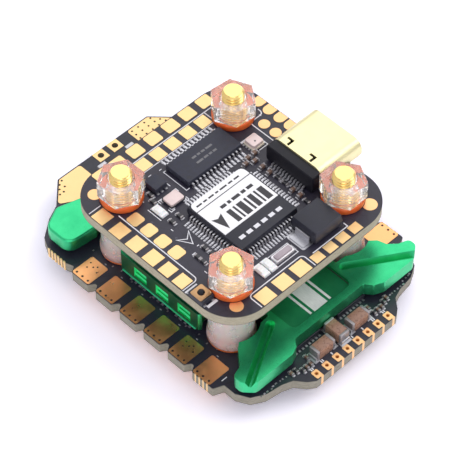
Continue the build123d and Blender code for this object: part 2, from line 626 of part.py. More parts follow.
with BuildPart() as usb_housing:
    # black moulding behind and inside the back of the shell
    with BuildSketch(Plane(origin=(USB_X0 - 1.5, USB_Y, FC_T + 1.52), x_dir=(0, 1, 0), z_dir=(1, 0, 0))):
        RectangleRounded(8.5, 2.9, 0.5)
    extrude(amount=1.5)
    with BuildSketch(Plane(origin=(USB_X0, USB_Y, USB_Z), x_dir=(0, 1, 0), z_dir=(1, 0, 0))):
        RectangleRounded(8.3, 2.62, 1.18)
    extrude(amount=0.14)
    with BuildSketch(Plane(origin=(USB_X0 + 0.14, USB_Y, USB_Z), x_dir=(0, 1, 0), z_dir=(1, 0, 0))):
        RectangleRounded(7.2, 1.9, 0.6)
    extrude(amount=1.2)
usb_housing.part.label = "usb_housing"
export_step(usb_housing.part, "parts/usb_housing.step")

with BuildPart() as usb_tongue:
    with BuildSketch(Plane(origin=(USB_X0 + 1.34, USB_Y, USB_Z), x_dir=(0, 1, 0), z_dir=(1, 0, 0))):
        Rectangle(6.69, 0.7)
    extrude(amount=5.1)
    chamfer(usb_tongue.faces().sort_by(Axis.X)[-1].edges().filter_by(Axis.Y), 0.2)
usb_tongue.part.label = "usb_tongue"
export_step(usb_tongue.part, "parts/usb_tongue.step")

with BuildPart() as usb_pins:
    planes = [Plane(origin=(USB_X0 - 1.5, USB_Y + (i - 5.5) * 0.5, FC_T + 0.01), x_dir=(-1, 0, 0), z_dir=(0, 1, 0))
              for i in range(12)]
    with BuildSketch(*planes):
        with BuildLine():
            Polyline((0, 0.35), (0, 0.5), (0.3, 0.5), (0.45, 0.15), (0.9, 0.15), (0.9, 0), (0.33, 0), (0.2, 0.35), close=True)
        make_face()
    extrude(amount=0.13, both=True)
usb_pins.part.label = "usb_pins"
export_step(usb_pins.part, "parts/usb_pins.step")

# ---------------------------------------------------------------- boot button
with BuildPart() as button_base:
    with BuildSketch(Plane.XY.offset(FC_T)):
        with Locations(BTN):
            Rectangle(2.1, 2.6)
    extrude(amount=0.75)
    with Locations((BTN[0], BTN[1], FC_T + 0.75)):
        Hole(0.65, depth=0.5)
button_base.part.label = "boot_button_base"
export_step(button_base.part, "parts/boot_button_base.step")

with BuildPart() as button_plate:
    with BuildSketch(Plane.XY.offset(FC_T + 0.75)):
        with Locations(BTN):
            RectangleRounded(2.0, 2.0, 0.2)
            Circle(0.5, mode=Mode.SUBTRACT)
    extrude(amount=0.12)
button_plate.part.label = "boot_button_plate"
export_step(button_plate.part, "parts/boot_button_plate.step")

with BuildPart() as button_plunger:
    with BuildSketch(Plane.XY.offset(FC_T + 0.5)):
        with Locations(BTN):
            Circle(0.45)
    extrude(amount=0.65)
    fillet(button_plunger.faces().sort_by(Axis.Z)[-1].edges(), 0.08)
button_plunger.part.label = "boot_button_plunger"
export_step(button_plunger.part, "parts/boot_button_plunger.step")

# ---------------------------------------------------------------- underside of the upper board
with BuildPart() as link_socket:
    # eight-way socket for the lead to the speed controller, opening to the front
    with BuildSketch(Plane.XY.offset(FC_B - 2.95)):
        with Locations((0, -11.2)):
            Rectangle(10.0, 4.2)
    extrude(amount=2.95)
    with BuildSketch(Plane(origin=(0, -13.3, FC_B - 1.55), x_dir=(1, 0, 0), z_dir=(0, -1, 0))):
        Rectangle(8.8, 1.9)
    extrude(amount=-3.0, mode=Mode.SUBTRACT)
link_socket.part.label = "link_socket"
export_step(link_socket.part, "parts/link_socket.step")

with BuildPart() as link_pins:
    with BuildSketch(Plane(origin=(0, -10.3, FC_B - 1.55), x_dir=(1, 0, 0), z_dir=(0, -1, 0))):
        with Locations(*[((i - 3.5) * 1.0, 0) for i in range(8)]):
            Rectangle(0.3, 0.3)
    extrude(amount=2.4)
link_pins.part.label = "link_socket_pins"
export_step(link_pins.part, "parts/link_socket_pins.step")

with BuildPart() as flash_chip:
    with BuildSketch(Plane.XY.offset(FC_B - 0.8)):
        with Locations((-3.5, 1.0)):
            Rectangle(6.0, 5.0)
    extrude(amount=0.8)
flash_chip.part.label = "memory_chip"
export_step(flash_chip.part, "parts/memory_chip.step")

with BuildPart() as inductors:
    with BuildSketch(Plane.XY.offset(FC_B - 1.9)):
        with Locations((5.2, 3.4), (5.2, -2.2)):
            RectangleRounded(4.2, 4.2, 0.6)
    extrude(amount=1.9)
inductors.part.label = "power_inductors"
export_step(inductors.part, "parts/power_inductors.step")

with BuildPart() as regulators:
    with BuildSketch(Plane.XY.offset(FC_B - 1.05)):
        with Locations((0.9, 6.6), (10.6, 0.0), (-3.0, 6.6)):
            Rectangle(2.9, 1.65)
    extrude(amount=1.05)
regulators.part.label = "power_regulators"
export_step(regulators.part, "parts/power_regulators.step")

with BuildPart() as fc_bottom_caps:
    with BuildSketch(Plane.XY.offset(FC_B - 0.9)):
        with Locations((9.0, 5.0), (9.0, 3.4), (9.0, -3.4), (9.0, -5.0), (-8.8, 3.0), (-8.8, 0.0)):
            Rectangle(2.0, 1.2)
    extrude(amount=0.9)
fc_bottom_caps.part.label = "fc_filter_capacitors"
export_step(fc_bottom_caps.part, "parts/fc_filter_capacitors.step")
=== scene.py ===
import bpy, bmesh, math, random
import numpy as np
from mathutils import Vector, Matrix


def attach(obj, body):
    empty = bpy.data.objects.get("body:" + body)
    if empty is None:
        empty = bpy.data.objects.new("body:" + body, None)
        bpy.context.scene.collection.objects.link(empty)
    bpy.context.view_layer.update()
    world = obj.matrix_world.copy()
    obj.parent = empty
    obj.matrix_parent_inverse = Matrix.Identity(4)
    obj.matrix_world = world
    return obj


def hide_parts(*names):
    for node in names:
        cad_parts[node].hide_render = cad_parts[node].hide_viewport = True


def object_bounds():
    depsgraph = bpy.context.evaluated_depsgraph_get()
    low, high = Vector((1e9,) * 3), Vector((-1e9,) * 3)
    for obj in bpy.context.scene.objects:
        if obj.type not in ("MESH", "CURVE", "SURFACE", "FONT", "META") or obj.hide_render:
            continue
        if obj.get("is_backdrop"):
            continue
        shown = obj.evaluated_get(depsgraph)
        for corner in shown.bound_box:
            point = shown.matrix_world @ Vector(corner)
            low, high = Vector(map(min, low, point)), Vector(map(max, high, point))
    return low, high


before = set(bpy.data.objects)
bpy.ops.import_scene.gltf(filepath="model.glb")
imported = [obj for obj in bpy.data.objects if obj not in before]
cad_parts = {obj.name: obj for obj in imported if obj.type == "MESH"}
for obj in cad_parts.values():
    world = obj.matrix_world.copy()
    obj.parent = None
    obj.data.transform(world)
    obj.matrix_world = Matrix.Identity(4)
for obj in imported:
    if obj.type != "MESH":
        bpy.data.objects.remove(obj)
CAD_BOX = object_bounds()
random.seed(7)
MM = 0.001

# levels and places, millimetres, as in the CAD model
HEAD_B, HEAD_T = -2.9, -1.12
ESC_B, ESC_T = 0.0, 1.6
SP_B, SP_T = 2.0, 9.5
FC_B, FC_T = 10.11, 11.71
GR_T, NUT_B, NUT_T, TIP = 12.75, 12.77, 15.6, 16.7
HS_B, HS_T, HS_C = 2.6, 4.6, 5.8
CORNERS = {"front": (-10, -10), "right": (10, -10), "back": (10, 10), "left": (-10, 10)}
NUT_ANG = {"front": 42.9, "right": 1.6, "back": 54.3, "left": 31.2}
PTS = list(CORNERS.values())
ECX = -0.25
MOTOR_Y = [10.25, 5.75, 1.22, -3.28, -7.78, -12.28]
SIG_X = [-6.8 + 1.872 * i for i in range(8)]
SIG_Y = -22.0
MCU = (-1.1, -2.9)
OSD = (2.0, 7.25)
USB_Y, USB_X0, USB_X1 = -2.6, 9.2, 16.6
USB_Z = FC_T + 1.63
BTN = (-14.0, -8.75)


# ------------------------------------------------------------------ materials
def base_mat(name):
    m = bpy.data.materials.new(name)
    m.use_nodes = True
    nt = m.node_tree
    nt.nodes.clear()
    out = nt.nodes.new("ShaderNodeOutputMaterial")
    b = nt.nodes.new("ShaderNodeBsdfPrincipled")
    nt.links.new(b.outputs[0], out.inputs[0])
    tc = nt.nodes.new("ShaderNodeTexCoord")
    return m, nt, b, tc


def noise(nt, tc, scale, detail=3.0, rough=0.55, stretch=(1, 1, 1), dist=0.0):
    mp = nt.nodes.new("ShaderNodeMapping")
    mp.inputs["Scale"].default_value = stretch
    nt.links.new(tc.outputs["Object"], mp.inputs[0])
    n = nt.nodes.new("ShaderNodeTexNoise")
    n.inputs["Scale"].default_value = scale
    n.inputs["Detail"].default_value = detail
    n.inputs["Roughness"].default_value = rough
    n.inputs["Distortion"].default_value = dist
    nt.links.new(mp.outputs[0], n.inputs["Vector"])
    return n.outputs["Fac"]


def ramp(nt, src, stops):
    r = nt.nodes.new("ShaderNodeValToRGB")
    e = r.color_ramp.elements
    while len(e) > 1:
        e.remove(e[-1])
    e[0].position, e[0].color = stops[0][0], (*stops[0][1], 1)
    for p, c in stops[1:]:
        x = e.new(p)
        x.color = (*c, 1)
    nt.links.new(src, r.inputs[0])
    return r.outputs[0]


def mrange(nt, src, a, b, lo, hi):
    n = nt.nodes.new("ShaderNodeMapRange")
    n.inputs[1].default_value, n.inputs[2].default_value = a, b
    n.inputs[3].default_value, n.inputs[4].default_value = lo, hi
    nt.links.new(src, n.inputs[0])
    return n.outputs[0]


def mixc(nt, fac, a, b, mode="MIX"):
    n = nt.nodes.new("ShaderNodeMix")
    n.data_type = "RGBA"
    n.blend_type = mode
    for s, v in ((0, fac), (6, a), (7, b)):
        if hasattr(v, "is_linked") or hasattr(v, "links"):
            nt.links.new(v, n.inputs[s])
        elif s == 0:
            n.inputs[s].default_value = v
        else:
            n.inputs[s].default_value = (*v, 1)
    return n.outputs[2]


def bump(nt, b, h, strength=0.3, dist=0.00002, prev=None):
    n = nt.nodes.new("ShaderNodeBump")
    n.inputs["Strength"].default_value = strength
    n.inputs["Distance"].default_value = dist
    nt.links.new(h, n.inputs["Height"])
    if prev is not None:
        nt.links.new(prev, n.inputs["Normal"])
    nt.links.new(n.outputs[0], b.inputs["Normal"])
    return n.outputs[0]


def shade(col, f):
    return tuple(min(1.0, c * f) for c in col)


def simple(name, col, rough=0.5, metal=0.0, scale=2500, var=0.12, rvar=0.08, bstr=0.15, bdist=0.00001, fine=None,
           stretch=(1, 1, 1), **sock):
    """A colour that varies softly, a roughness that varies with it and a fine bump."""
    m, nt, b, tc = base_mat(name)
    n = noise(nt, tc, scale, stretch=stretch)
    c = ramp(nt, n, [(0.3, shade(col, 1 - var)), (0.7, shade(col, 1 + var))])
    nt.links.new(c, b.inputs["Base Color"])
    nt.links.new(mrange(nt, n, 0.3, 0.7, max(0.02, rough - rvar), min(1, rough + rvar)), b.inputs["Roughness"])
    b.inputs["Metallic"].default_value = metal
    bump(nt, b, noise(nt, tc, fine or scale * 5, 2.0, stretch=stretch), bstr, bdist)
    for k, v in sock.items():
        b.inputs[k.replace("_", " ")].default_value = v
    return m


def board_mat(name, mask, edge, z0, z1):
    """Solder mask above and below with copper showing through it, bare glass fibre on the cut edge."""
    m, nt, b, tc = base_mat(name)
    geo = nt.nodes.new("ShaderNodeNewGeometry")
    sep = nt.nodes.new("ShaderNodeSeparateXYZ")
    nt.links.new(geo.outputs["True Normal"], sep.inputs[0])
    ab = nt.nodes.new("ShaderNodeMath"); ab.operation = "ABSOLUTE"
    nt.links.new(sep.outputs[2], ab.inputs[0])
    flat = mrange(nt, ab.outputs[0], 0.4, 0.6, 0.0, 1.0)
    # copper pattern under the mask
    v = nt.nodes.new("ShaderNodeTexVoronoi")
    v.feature = "DISTANCE_TO_EDGE"
    v.inputs["Scale"].default_value = 620
    v.inputs["Randomness"].default_value = 0.75
    nt.links.new(tc.outputs["Object"], v.inputs["Vector"])
    line = mrange(nt, v.outputs["Distance"], 0.02, 0.055, 1.0, 0.0)
    big = noise(nt, tc, 170, 2.0)
    pour = mrange(nt, big, 0.47, 0.53, 0.0, 1.0)
    c1 = mixc(nt, pour, shade(mask, 0.9), shade(mask, 1.12))
    c2 = mixc(nt, line, c1, shade(mask, 0.74))
    sp = noise(nt, tc, 9000, 2.0)
    c3 = mixc(nt, mrange(nt, sp, 0.35, 0.75, 0.0, 0.35), c2, shade(mask, 1.5))
    # layered fibre on the edge
    fib = noise(nt, tc, 1500, 4.0, 0.7, stretch=(1, 1, 4.5))
    fine = noise(nt, tc, 9000, 2.0, 0.6)
    e1 = ramp(nt, fib, [(0.28, shade(edge, 0.62)), (0.5, edge), (0.74, shade(edge, 1.3))])
    e2 = mixc(nt, mrange(nt, fine, 0.35, 0.7, 0.0, 0.35), e1, shade(edge, 0.55))
    # mask and copper show as dark lines along both faces of the cut edge
    pz = nt.nodes.new("ShaderNodeSeparateXYZ")
    nt.links.new(tc.outputs["Object"], pz.inputs[0])
    hi = mrange(nt, pz.outputs[2], (z1 - 0.13) * MM, (z1 - 0.07) * MM, 0.0, 0.8)
    lo = mrange(nt, pz.outputs[2], (z0 + 0.07) * MM, (z0 + 0.13) * MM, 0.8, 0.0)
    e2 = mixc(nt, hi, e2, shade(edge, 0.16))
    e2 = mixc(nt, lo, e2, shade(edge, 0.16))
    col = mixc(nt, flat, e2, c3)
    nt.links.new(col, b.inputs["Base Color"])
    r1 = nt.nodes.new("ShaderNodeMix")
    nt.links.new(flat, r1.inputs[0])
    r1.inputs[2].default_value = 0.72
    nt.links.new(mrange(nt, sp, 0.3, 0.7, 0.33, 0.46), r1.inputs[3])
    nt.links.new(r1.outputs[0], b.inputs["Roughness"])
    p = bump(nt, b, mixc(nt, 0.5, line, pour), 0.25, 0.000012)
    bump(nt, b, fib, 0.12, 0.00002, p)
    return m


MASK = board_mat("board_mask", (0.019, 0.017, 0.032), (0.385, 0.345, 0.245), FC_B, FC_T)
MASK2 = board_mat("board_mask_lower", (0.016, 0.017, 0.030), (0.26, 0.24, 0.185), ESC_B, ESC_T)


def gold_mat(name, col, rough, var=0.07, metal=1.0, grain=1.0):
    m, nt, b, tc = base_mat(name)
    n = noise(nt, tc, 900, 3.0)
    c = ramp(nt, n, [(0.3, shade(col, 1 - var)), (0.7, shade(col, 1 + var * 0.5))])
    nt.links.new(c, b.inputs["Base Color"])
    b.inputs["Metallic"].default_value = metal
    weave = nt.nodes.new("ShaderNodeTexWave")
    weave.inputs["Scale"].default_value = 1900
    weave.inputs["Distortion"].default_value = 1.5
    weave.inputs["Detail"].default_value = 1.0
    nt.links.new(tc.outputs["Object"], weave.inputs["Vector"])
    nt.links.new(mrange(nt, n, 0.3, 0.7, rough - 0.06, rough + 0.06), b.inputs["Roughness"])
    p = bump(nt, b, weave.outputs["Fac"], 0.10 * grain, 0.000006)
    bump(nt, b, noise(nt, tc, 6000, 3.0), 0.18 * grain, 0.000008, p)
    return m


GOLD = gold_mat("pad_gold", (0.935, 0.65, 0.31), 0.42, 0.05, 0.78)
GOLD2 = gold_mat("pad_gold_lower", (0.94, 0.57, 0.27), 0.36, 0.06, 0.82)
COPPER = gold_mat("pad_motor_gold", (0.95, 0.47, 0.20), 0.33, 0.07, 0.92, 0.35)
PLATE = gold_mat("button_plate", (0.50, 0.30, 0.15), 0.36, 0.08, 0.9)
HOLE = gold_mat("plated_barrel", (0.72, 0.30, 0.08), 0.55, 0.1, 0.2)
BRASS = gold_mat("screw_gold", (0.96, 0.70, 0.26), 0.22, 0.05)
CHAMP = gold_mat("usb_champagne", (0.85, 0.78, 0.45), 0.36, 0.02, 0.86)
TIN = simple("solder_tin", (0.56, 0.56, 0.59), 0.4, 0.95, 5000, 0.1, 0.1, 0.3, 0.00001)
CAN = simple("can_nickel", (0.52, 0.43, 0.44), 0.33, 0.9, 1500, 0.05, 0.05, 0.1, 0.000005, stretch=(1, 8, 1))
CHIP = simple("chip_epoxy", (0.024, 0.026, 0.043), 0.55, 0.0, 1600, 0.25, 0.08, 0.35, 0.000012, fine=12000)
CHIP2 = simple("chip_epoxy_dark", (0.014, 0.015, 0.026), 0.48, 0.0, 1600, 0.25, 0.08, 0.3, 0.00001, fine=12000)
FERR = simple("ferrite_grey", (0.09, 0.085, 0.085), 0.75, 0.0, 2500, 0.2, 0.08, 0.6, 0.00003, fine=7000)
CER = simple("ceramic_brown", (0.30, 0.165, 0.115), 0.3, 0.0, 2500, 0.18, 0.08, 0.2, 0.00001)
CER2 = simple("ceramic_dark_brown", (0.19, 0.115, 0.085), 0.32, 0.0, 2500, 0.2, 0.08, 0.2, 0.00001)
PINK = simple("can_rose", (0.76, 0.62, 0.60), 0.42, 0.35, 1500, 0.05, 0.06, 0.1, 0.000005)
# mauve-grey lid, darker than the silver rim: a painted dark reflection
LID_DARK_REFLECTION = simple("can_lid_mauve_painted_reflection", (0.36, 0.31, 0.34), 0.36, 0.7, 1500, 0.06, 0.06, 0.1, 0.000005, stretch=(1, 8, 1))
SILVER = simple("can_rim_silver", (0.72, 0.70, 0.72), 0.3, 0.9, 1500, 0.05, 0.06, 0.1, 0.000005)
TERM = simple("terminal_tin", (0.34, 0.32, 0.33), 0.44, 0.8, 3500, 0.15, 0.1, 0.3, 0.00001)
LABEL = simple("label_paper", (0.95, 0.95, 0.97), 0.5, 0.0, 3000, 0.03, 0.05, 0.1, 0.000006, fine=9000)
INK = simple("label_ink", (0.035, 0.034, 0.04), 0.5, 0.0, 3000, 0.15, 0.05, 0.1, 0.000005)
SILK = simple("silkscreen_white", (0.80, 0.80, 0.84), 0.55, 0.0, 6000, 0.06, 0.05, 0.3, 0.000008)
DIM = simple("print_dim", (0.33, 0.33, 0.36), 0.55, 0.0, 6000, 0.15, 0.05, 0.3, 0.000008)
MARK = simple("laser_mark", (0.17, 0.17, 0.18), 0.6, 0.0, 9000, 0.2, 0.05, 0.3, 0.000006)
LED = simple("led_body", (0.92, 0.92, 0.92), 0.35, 0.0, 4000, 0.05, 0.05, 0.2, 0.000008, Subsurface_Weight=0.15, Subsurface_Scale=0.0003)
IVORY = simple("socket_ivory", (0.78, 0.72, 0.60), 0.45, 0.0, 2500, 0.04, 0.05, 0.2, 0.00001)
TPAD = simple("thermal_pad_grey", (0.35, 0.36, 0.38), 0.8, 0.0, 2500, 0.12, 0.05, 0.5, 0.00003)
BLACKP = simple("black_moulding", (0.007, 0.007, 0.012), 0.42, 0.0, 2500, 0.2, 0.07, 0.3, 0.00001, Specular_IOR_Level=0.3)
RESI = simple("resistor_glaze", (0.03, 0.03, 0.036), 0.3, 0.0, 4000, 0.2, 0.06, 0.2, 0.000008)
# dark brown for the via holes on the lower board: painted shade standing in for the holes
VIA_HOLE_SHADE = simple("via_hole_painted_shade", (0.05, 0.028, 0.014), 0.6, 0.3, 8000, 0.3, 0.1, 0.3, 0.00001)
VIAR = simple("via_ring_dim", (0.10, 0.10, 0.13), 0.5, 0.3, 6000, 0.2, 0.1, 0.3, 0.00001)
RIBBON = simple("heat_sink_bare", (0.78, 0.83, 0.80), 0.5, 0.25, 2500, 0.10, 0.08, 0.4, 0.00001, stretch=(6, 0.6, 1))


def green_mat(name="anodised_green", k=1.0, lo=0.26, metal=0.92):
    """Satin green anodising: blasted grain, faint machining lines, paler where the light catches the grain."""
    m, nt, b, tc = base_mat(name)
    n = noise(nt, tc, 420, 3.0)
    g = noise(nt, tc, 14000, 2.0, 0.7)
    c = ramp(nt, n, [(0.25, shade((0.032, 0.47, 0.19), k)), (0.75, shade((0.052, 0.60, 0.245), k))])
    c2 = mixc(nt, mrange(nt, g, 0.45, 0.75, 0.0, 0.12), c, shade((0.08, 0.72, 0.36), k))
    nt.links.new(c2, b.inputs["Base Color"])
    b.inputs["Metallic"].default_value = metal
    nt.links.new(mrange(nt, g, 0.3, 0.7, lo, lo + 0.12), b.inputs["Roughness"])
    mill = noise(nt, tc, 2600, 1.0, 0.4, stretch=(0.25, 5, 1))
    p = bump(nt, b, g, 0.05, 0.000003)
    bump(nt, b, mill, 0.06, 0.000008, p)
    return m


GREEN = green_mat()
# darker copy of the green for the pocket floor: painted shade
GREEN_POCKET_SHADE = green_mat("anodised_green_floor_painted_shade", 0.62, 0.34, 0.85)
# much darker copy of the green for the long side walls: painted shade
GREEN_WALL_SHADE = green_mat("anodised_green_wall_painted_shade", 0.20, 0.40, 0.75)
# lighter copy of the green for the window risers: painted light
GREEN_WINDOW_LIT = green_mat("anodised_green_window_painted_light", 1.7, 0.30, 0.35)
# brightest copy of the green for the bevel faces and the wall-foot lip: painted highlight
GREEN_EDGE_HIGHLIGHT = green_mat("anodised_green_edge_painted_highlight", 2.3, 0.22, 0.55)


def clear_mat(name, col, rough, trans, ior, sss=0.0, scale=700, through=None, foot=None):
    m, nt, b, tc = base_mat(name)
    n = noise(nt, tc, scale, 2.0)
    c = ramp(nt, n, [(0.3, shade(col, 0.97)), (0.7, shade(col, 1.03))])
    if foot:        # tint of the lower end
        pz = nt.nodes.new("ShaderNodeSeparateXYZ")
        nt.links.new(tc.outputs["Object"], pz.inputs[0])
        c = mixc(nt, mrange(nt, pz.outputs[2], foot[1] * MM, foot[2] * MM, 1.0, 0.0), c, foot[0])
    nt.links.new(c, b.inputs["Base Color"])
    nt.links.new(mrange(nt, n, 0.3, 0.7, max(0.0, rough - 0.02), rough + 0.03), b.inputs["Roughness"])
    b.inputs["Transmission Weight"].default_value = trans
    b.inputs["IOR"].default_value = ior
    if sss:
        b.inputs["Subsurface Weight"].default_value = sss
        b.inputs["Subsurface Scale"].default_value = 0.001
        b.inputs["Subsurface Radius"].default_value = (1.0, 0.5, 0.35)
    bump(nt, b, noise(nt, tc, 1500, 2.0), 0.05, 0.00001)
    if through:
        mx = nt.nodes.new("ShaderNodeMixShader")
        tr = nt.nodes.new("ShaderNodeBsdfTransparent")
        tr.inputs[0].default_value = (*through, 1)
        lp = nt.nodes.new("ShaderNodeLightPath")
        out = next(n for n in nt.nodes if n.type == "OUTPUT_MATERIAL")
        nt.links.new(lp.outputs["Is Shadow Ray"], mx.inputs[0])
        nt.links.new(b.outputs[0], mx.inputs[1])
        nt.links.new(tr.outputs[0], mx.inputs[2])
        nt.links.new(mx.outputs[0], out.inputs[0])
    return m


NUTM = clear_mat("nut_clear", (1.0, 0.97, 0.945), 0.04, 0.89, 1.38, through=(0.97, 0.93, 0.91))
SPACERM = clear_mat("spacer_milky", (1.0, 0.89, 0.85), 0.26, 0.55, 1.40, 0.45, foot=((0.95, 0.62, 0.60), 2.0, 4.6))
RUBBER = clear_mat("bush_orange", (0.93, 0.17, 0.035), 0.38, 0.28, 1.41, 0.5, 1500)


# ------------------------------------------------------------------ mesh building
class Build:
    """Collects many small shapes into one mesh with several materials (millimetres in, metres out)."""

    def __init__(self):
        self.v, self.f, self.m, self.mats = [], [], [], []

    def mat(self, m):
        if m not in self.mats:
            self.mats.append(m)
        return self.mats.index(m)

    def add(self, verts, faces, m):
        o, k = len(self.v), self.mat(m)
        self.v += [tuple(p) for p in verts]
        self.f += [tuple(i + o for i in f) for f in faces]
        self.m += [k] * len(faces)

    def prism(self, pts, z0, z1, m, top=1.0, c=None, holes=None):
        """Closed prism over a counter-clockwise outline; top scales the upper outline about its centre."""
        n = len(pts)
        cx = c[0] if c else sum(p[0] for p in pts) / n
        cy = c[1] if c else sum(p[1] for p in pts) / n
        v = [(x, y, z0) for x, y in pts] + [(cx + (x - cx) * top, cy + (y - cy) * top, z1) for x, y in pts]
        f = [tuple(reversed(range(n))), tuple(range(n, 2 * n))]
        f += [(i, (i + 1) % n, n + (i + 1) % n, n + i) for i in range(n)]
        self.add(v, f, m)

    def box(self, cx, cy, z0, z1, sx, sy, m, rot=0.0, bev=0.0, rim=0.0):
        """Box with its top edges broken by bev and its upright corners rounded by rim."""
        pts = rrect(sx, sy, rim, 3 if rim else 1)
        c, s = math.cos(math.radians(rot)), math.sin(math.radians(rot))
        tr = lambda q: [(cx + x * c - y * s, cy + x * s + y * c) for x, y in q]
        if not bev:
            self.prism(tr(pts), z0, z1, m)
            return
        n = len(pts)
        inner = rrect(sx - 2 * bev, sy - 2 * bev, max(rim - bev, 0.0) if rim else 0.0, 3 if rim else 1)
        mid = [((a[0] * 0.3 + b[0] * 0.7), (a[1] * 0.3 + b[1] * 0.7)) for a, b in zip(inner, pts)]
        rings = [(tr(pts), z0), (tr(pts), z1 - bev), (tr(mid), z1 - bev * 0.3), (tr(inner), z1)]
        self.loft([[(x, y, z) for x, y in r] for r, z in rings], m)

    def loft(self, rings, m, cap=True, close=False):
        n = len(rings[0])
        v = [p for r in rings for p in r]
        f = []
        k = len(rings)
        for j in range(k if close else k - 1):
            a, b = j * n, ((j + 1) % k) * n
            f += [(a + i, a + (i + 1) % n, b + (i + 1) % n, b + i) for i in range(n)]
        if cap and not close:
            f += [tuple(reversed(range(n))), tuple(range((k - 1) * n, k * n))]
        self.add(v, f, m)

    def lathe(self, prof, cx, cy, m, n=64, closed=True):
        """Turned shape: prof is a loop of (r, z) if closed, else a line whose ends lie on the axis."""
        rings = []
        for r, z in prof:
            rings.append([(cx + r * math.cos(2 * math.pi * i / n), cy + r * math.sin(2 * math.pi * i / n), z) for i in range(n)])
        v = [p for r in rings for p in r]
        k = len(rings)
        f = []
        for j in range(k if closed else k - 1):
            a, b = j * n, ((j + 1) % k) * n
            f += [(a + i, a + (i + 1) % n, b + (i + 1) % n, b + i) for i in range(n)]
        if not closed:
            f += [tuple(reversed(range(n))), tuple(range((k - 1) * n, k * n))]
        self.add(v, f, m)

    def disc(self, cx, cy, z, r, m, h=0.012, n=20):
        self.prism([(cx + r * math.cos(2 * math.pi * i / n), cy + r * math.sin(2 * math.pi * i / n)) for i in range(n)], z, z + h, m)

    def ring(self, cx, cy, z, r0, r1, m, h=0.02, n=28):
        self.lathe([(r0, z), (r1, z), (r1, z + h * 0.6), (r1 - 0.02, z + h), (r0 + 0.02, z + h), (r0, z + h * 0.6)], cx, cy, m, n)

    def line(self, pts, w, z, m, h=0.014, close=False):
        """A flat printed line of width w through pts, mitred at its corners."""
        n = len(pts)
        L, R = [], []
        for i, p in enumerate(pts):
            a = pts[i - 1] if (i > 0 or close) else None
            b = pts[(i + 1) % n] if (i < n - 1 or close) else None
            d1 = norm2(sub2(p, a)) if a is not None else None
            d2 = norm2(sub2(b, p)) if b is not None else None
            if d1 is None: d1 = d2
            if d2 is None: d2 = d1
            t = norm2((d1[0] + d2[0], d1[1] + d2[1]))
            k = max(0.35, t[0] * d1[0] + t[1] * d1[1])
            nx, ny = -t[1] * w / 2 / k, t[0] * w / 2 / k
            L.append((p[0] + nx, p[1] + ny)); R.append((p[0] - nx, p[1] - ny))
        v, f = [], []
        for l, r in zip(L, R):
            v += [(r[0], r[1], z), (l[0], l[1], z), (l[0], l[1], z + h), (r[0], r[1], z + h)]
        k = n if close else n - 1
        for i in range(k):
            a, b = 4 * i, 4 * ((i + 1) % n)
            for s in range(4):
                t = (s + 1) % 4
                f.append((a + s, b + s, b + t, a + t))
        if not close:
            f += [(0, 1, 2, 3), (4 * n - 1, 4 * n - 2, 4 * n - 3, 4 * n - 4)]
        self.add(v, f, m)

    def make(self, name, body="stack", smooth=35, bevel=0.0, segs=2, fix=True):
        me = bpy.data.meshes.new(name)
        me.from_pydata([(x * MM, y * MM, z * MM) for x, y, z in self.v], [], self.f)
        for m in self.mats:
            me.materials.append(m)
        me.polygons.foreach_set("material_index", self.m)
        me.update()
        if fix:
            bm = bmesh.new(); bm.from_mesh(me)
            bmesh.ops.recalc_face_normals(bm, faces=bm.faces)
            bm.to_mesh(me); bm.free()
        ob = bpy.data.objects.new(name, me)
        bpy.context.scene.collection.objects.link(ob)
        if bevel:
            soften(ob, bevel, segs)
        smooth_by_angle(ob, smooth)
        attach(ob, body)
        return ob


def sub2(a, b): return (a[0] - b[0], a[1] - b[1])
def norm2(a):
    l = math.hypot(*a) or 1.0
    return (a[0] / l, a[1] / l)


def rrect(sx, sy, r, k=4):
    """Rounded rectangle outline, counter-clockwise, centred on the origin."""
    if r <= 0:
        if k <= 1:
            return [(-sx / 2, -sy / 2), (sx / 2, -sy / 2), (sx / 2, sy / 2), (-sx / 2, sy / 2)]
        r = 1e-4
    out = []
    for cx, cy, a0 in ((sx / 2 - r, -sy / 2 + r, -90), (sx / 2 - r, sy / 2 - r, 0), (-sx / 2 + r, sy / 2 - r, 90), (-sx / 2 + r, -sy / 2 + r, 180)):
        for i in range(k + 1):
            a = math.radians(a0 + 90 * i / k)
            out.append((cx + r * math.cos(a), cy + r * math.sin(a)))
    return out


def rounded(pts, r, k=5):
    """Rounds the corners of a polygon."""
    out, n = [], len(pts)
    for i, p in enumerate(pts):
        a, b = pts[i - 1], pts[(i + 1) % n]
        rr = r[i] if isinstance(r, (list, tuple)) else r
        d1, d2 = norm2(sub2(a, p)), norm2(sub2(b, p))
        cosv = max(-0.9999, min(0.9999, d1[0] * d2[0] + d1[1] * d2[1]))
        half = math.acos(cosv) / 2
        t = rr / math.tan(half)
        t = min(t, 0.45 * math.hypot(*sub2(a, p)), 0.45 * math.hypot(*sub2(b, p)))
        p0 = (p[0] + d1[0] * t, p[1] + d1[1] * t)
        p1 = (p[0] + d2[0] * t, p[1] + d2[1] * t)
        for j in range(k + 1):
            u = j / k
            x = (1 - u) ** 2 * p0[0] + 2 * u * (1 - u) * p[0] + u * u * p1[0]
            y = (1 - u) ** 2 * p0[1] + 2 * u * (1 - u) * p[1] + u * u * p1[1]
            out.append((x, y))
    return out


def smooth_by_angle(ob, deg):
    me = ob.data
    bm = bmesh.new(); bm.from_mesh(me)
    lim = math.radians(deg)
    for f in bm.faces:
        f.smooth = True
    for e in bm.edges:
        e.smooth = len(e.link_faces) == 2 and e.calc_face_angle(0.0) < lim
    bm.to_mesh(me); bm.free()


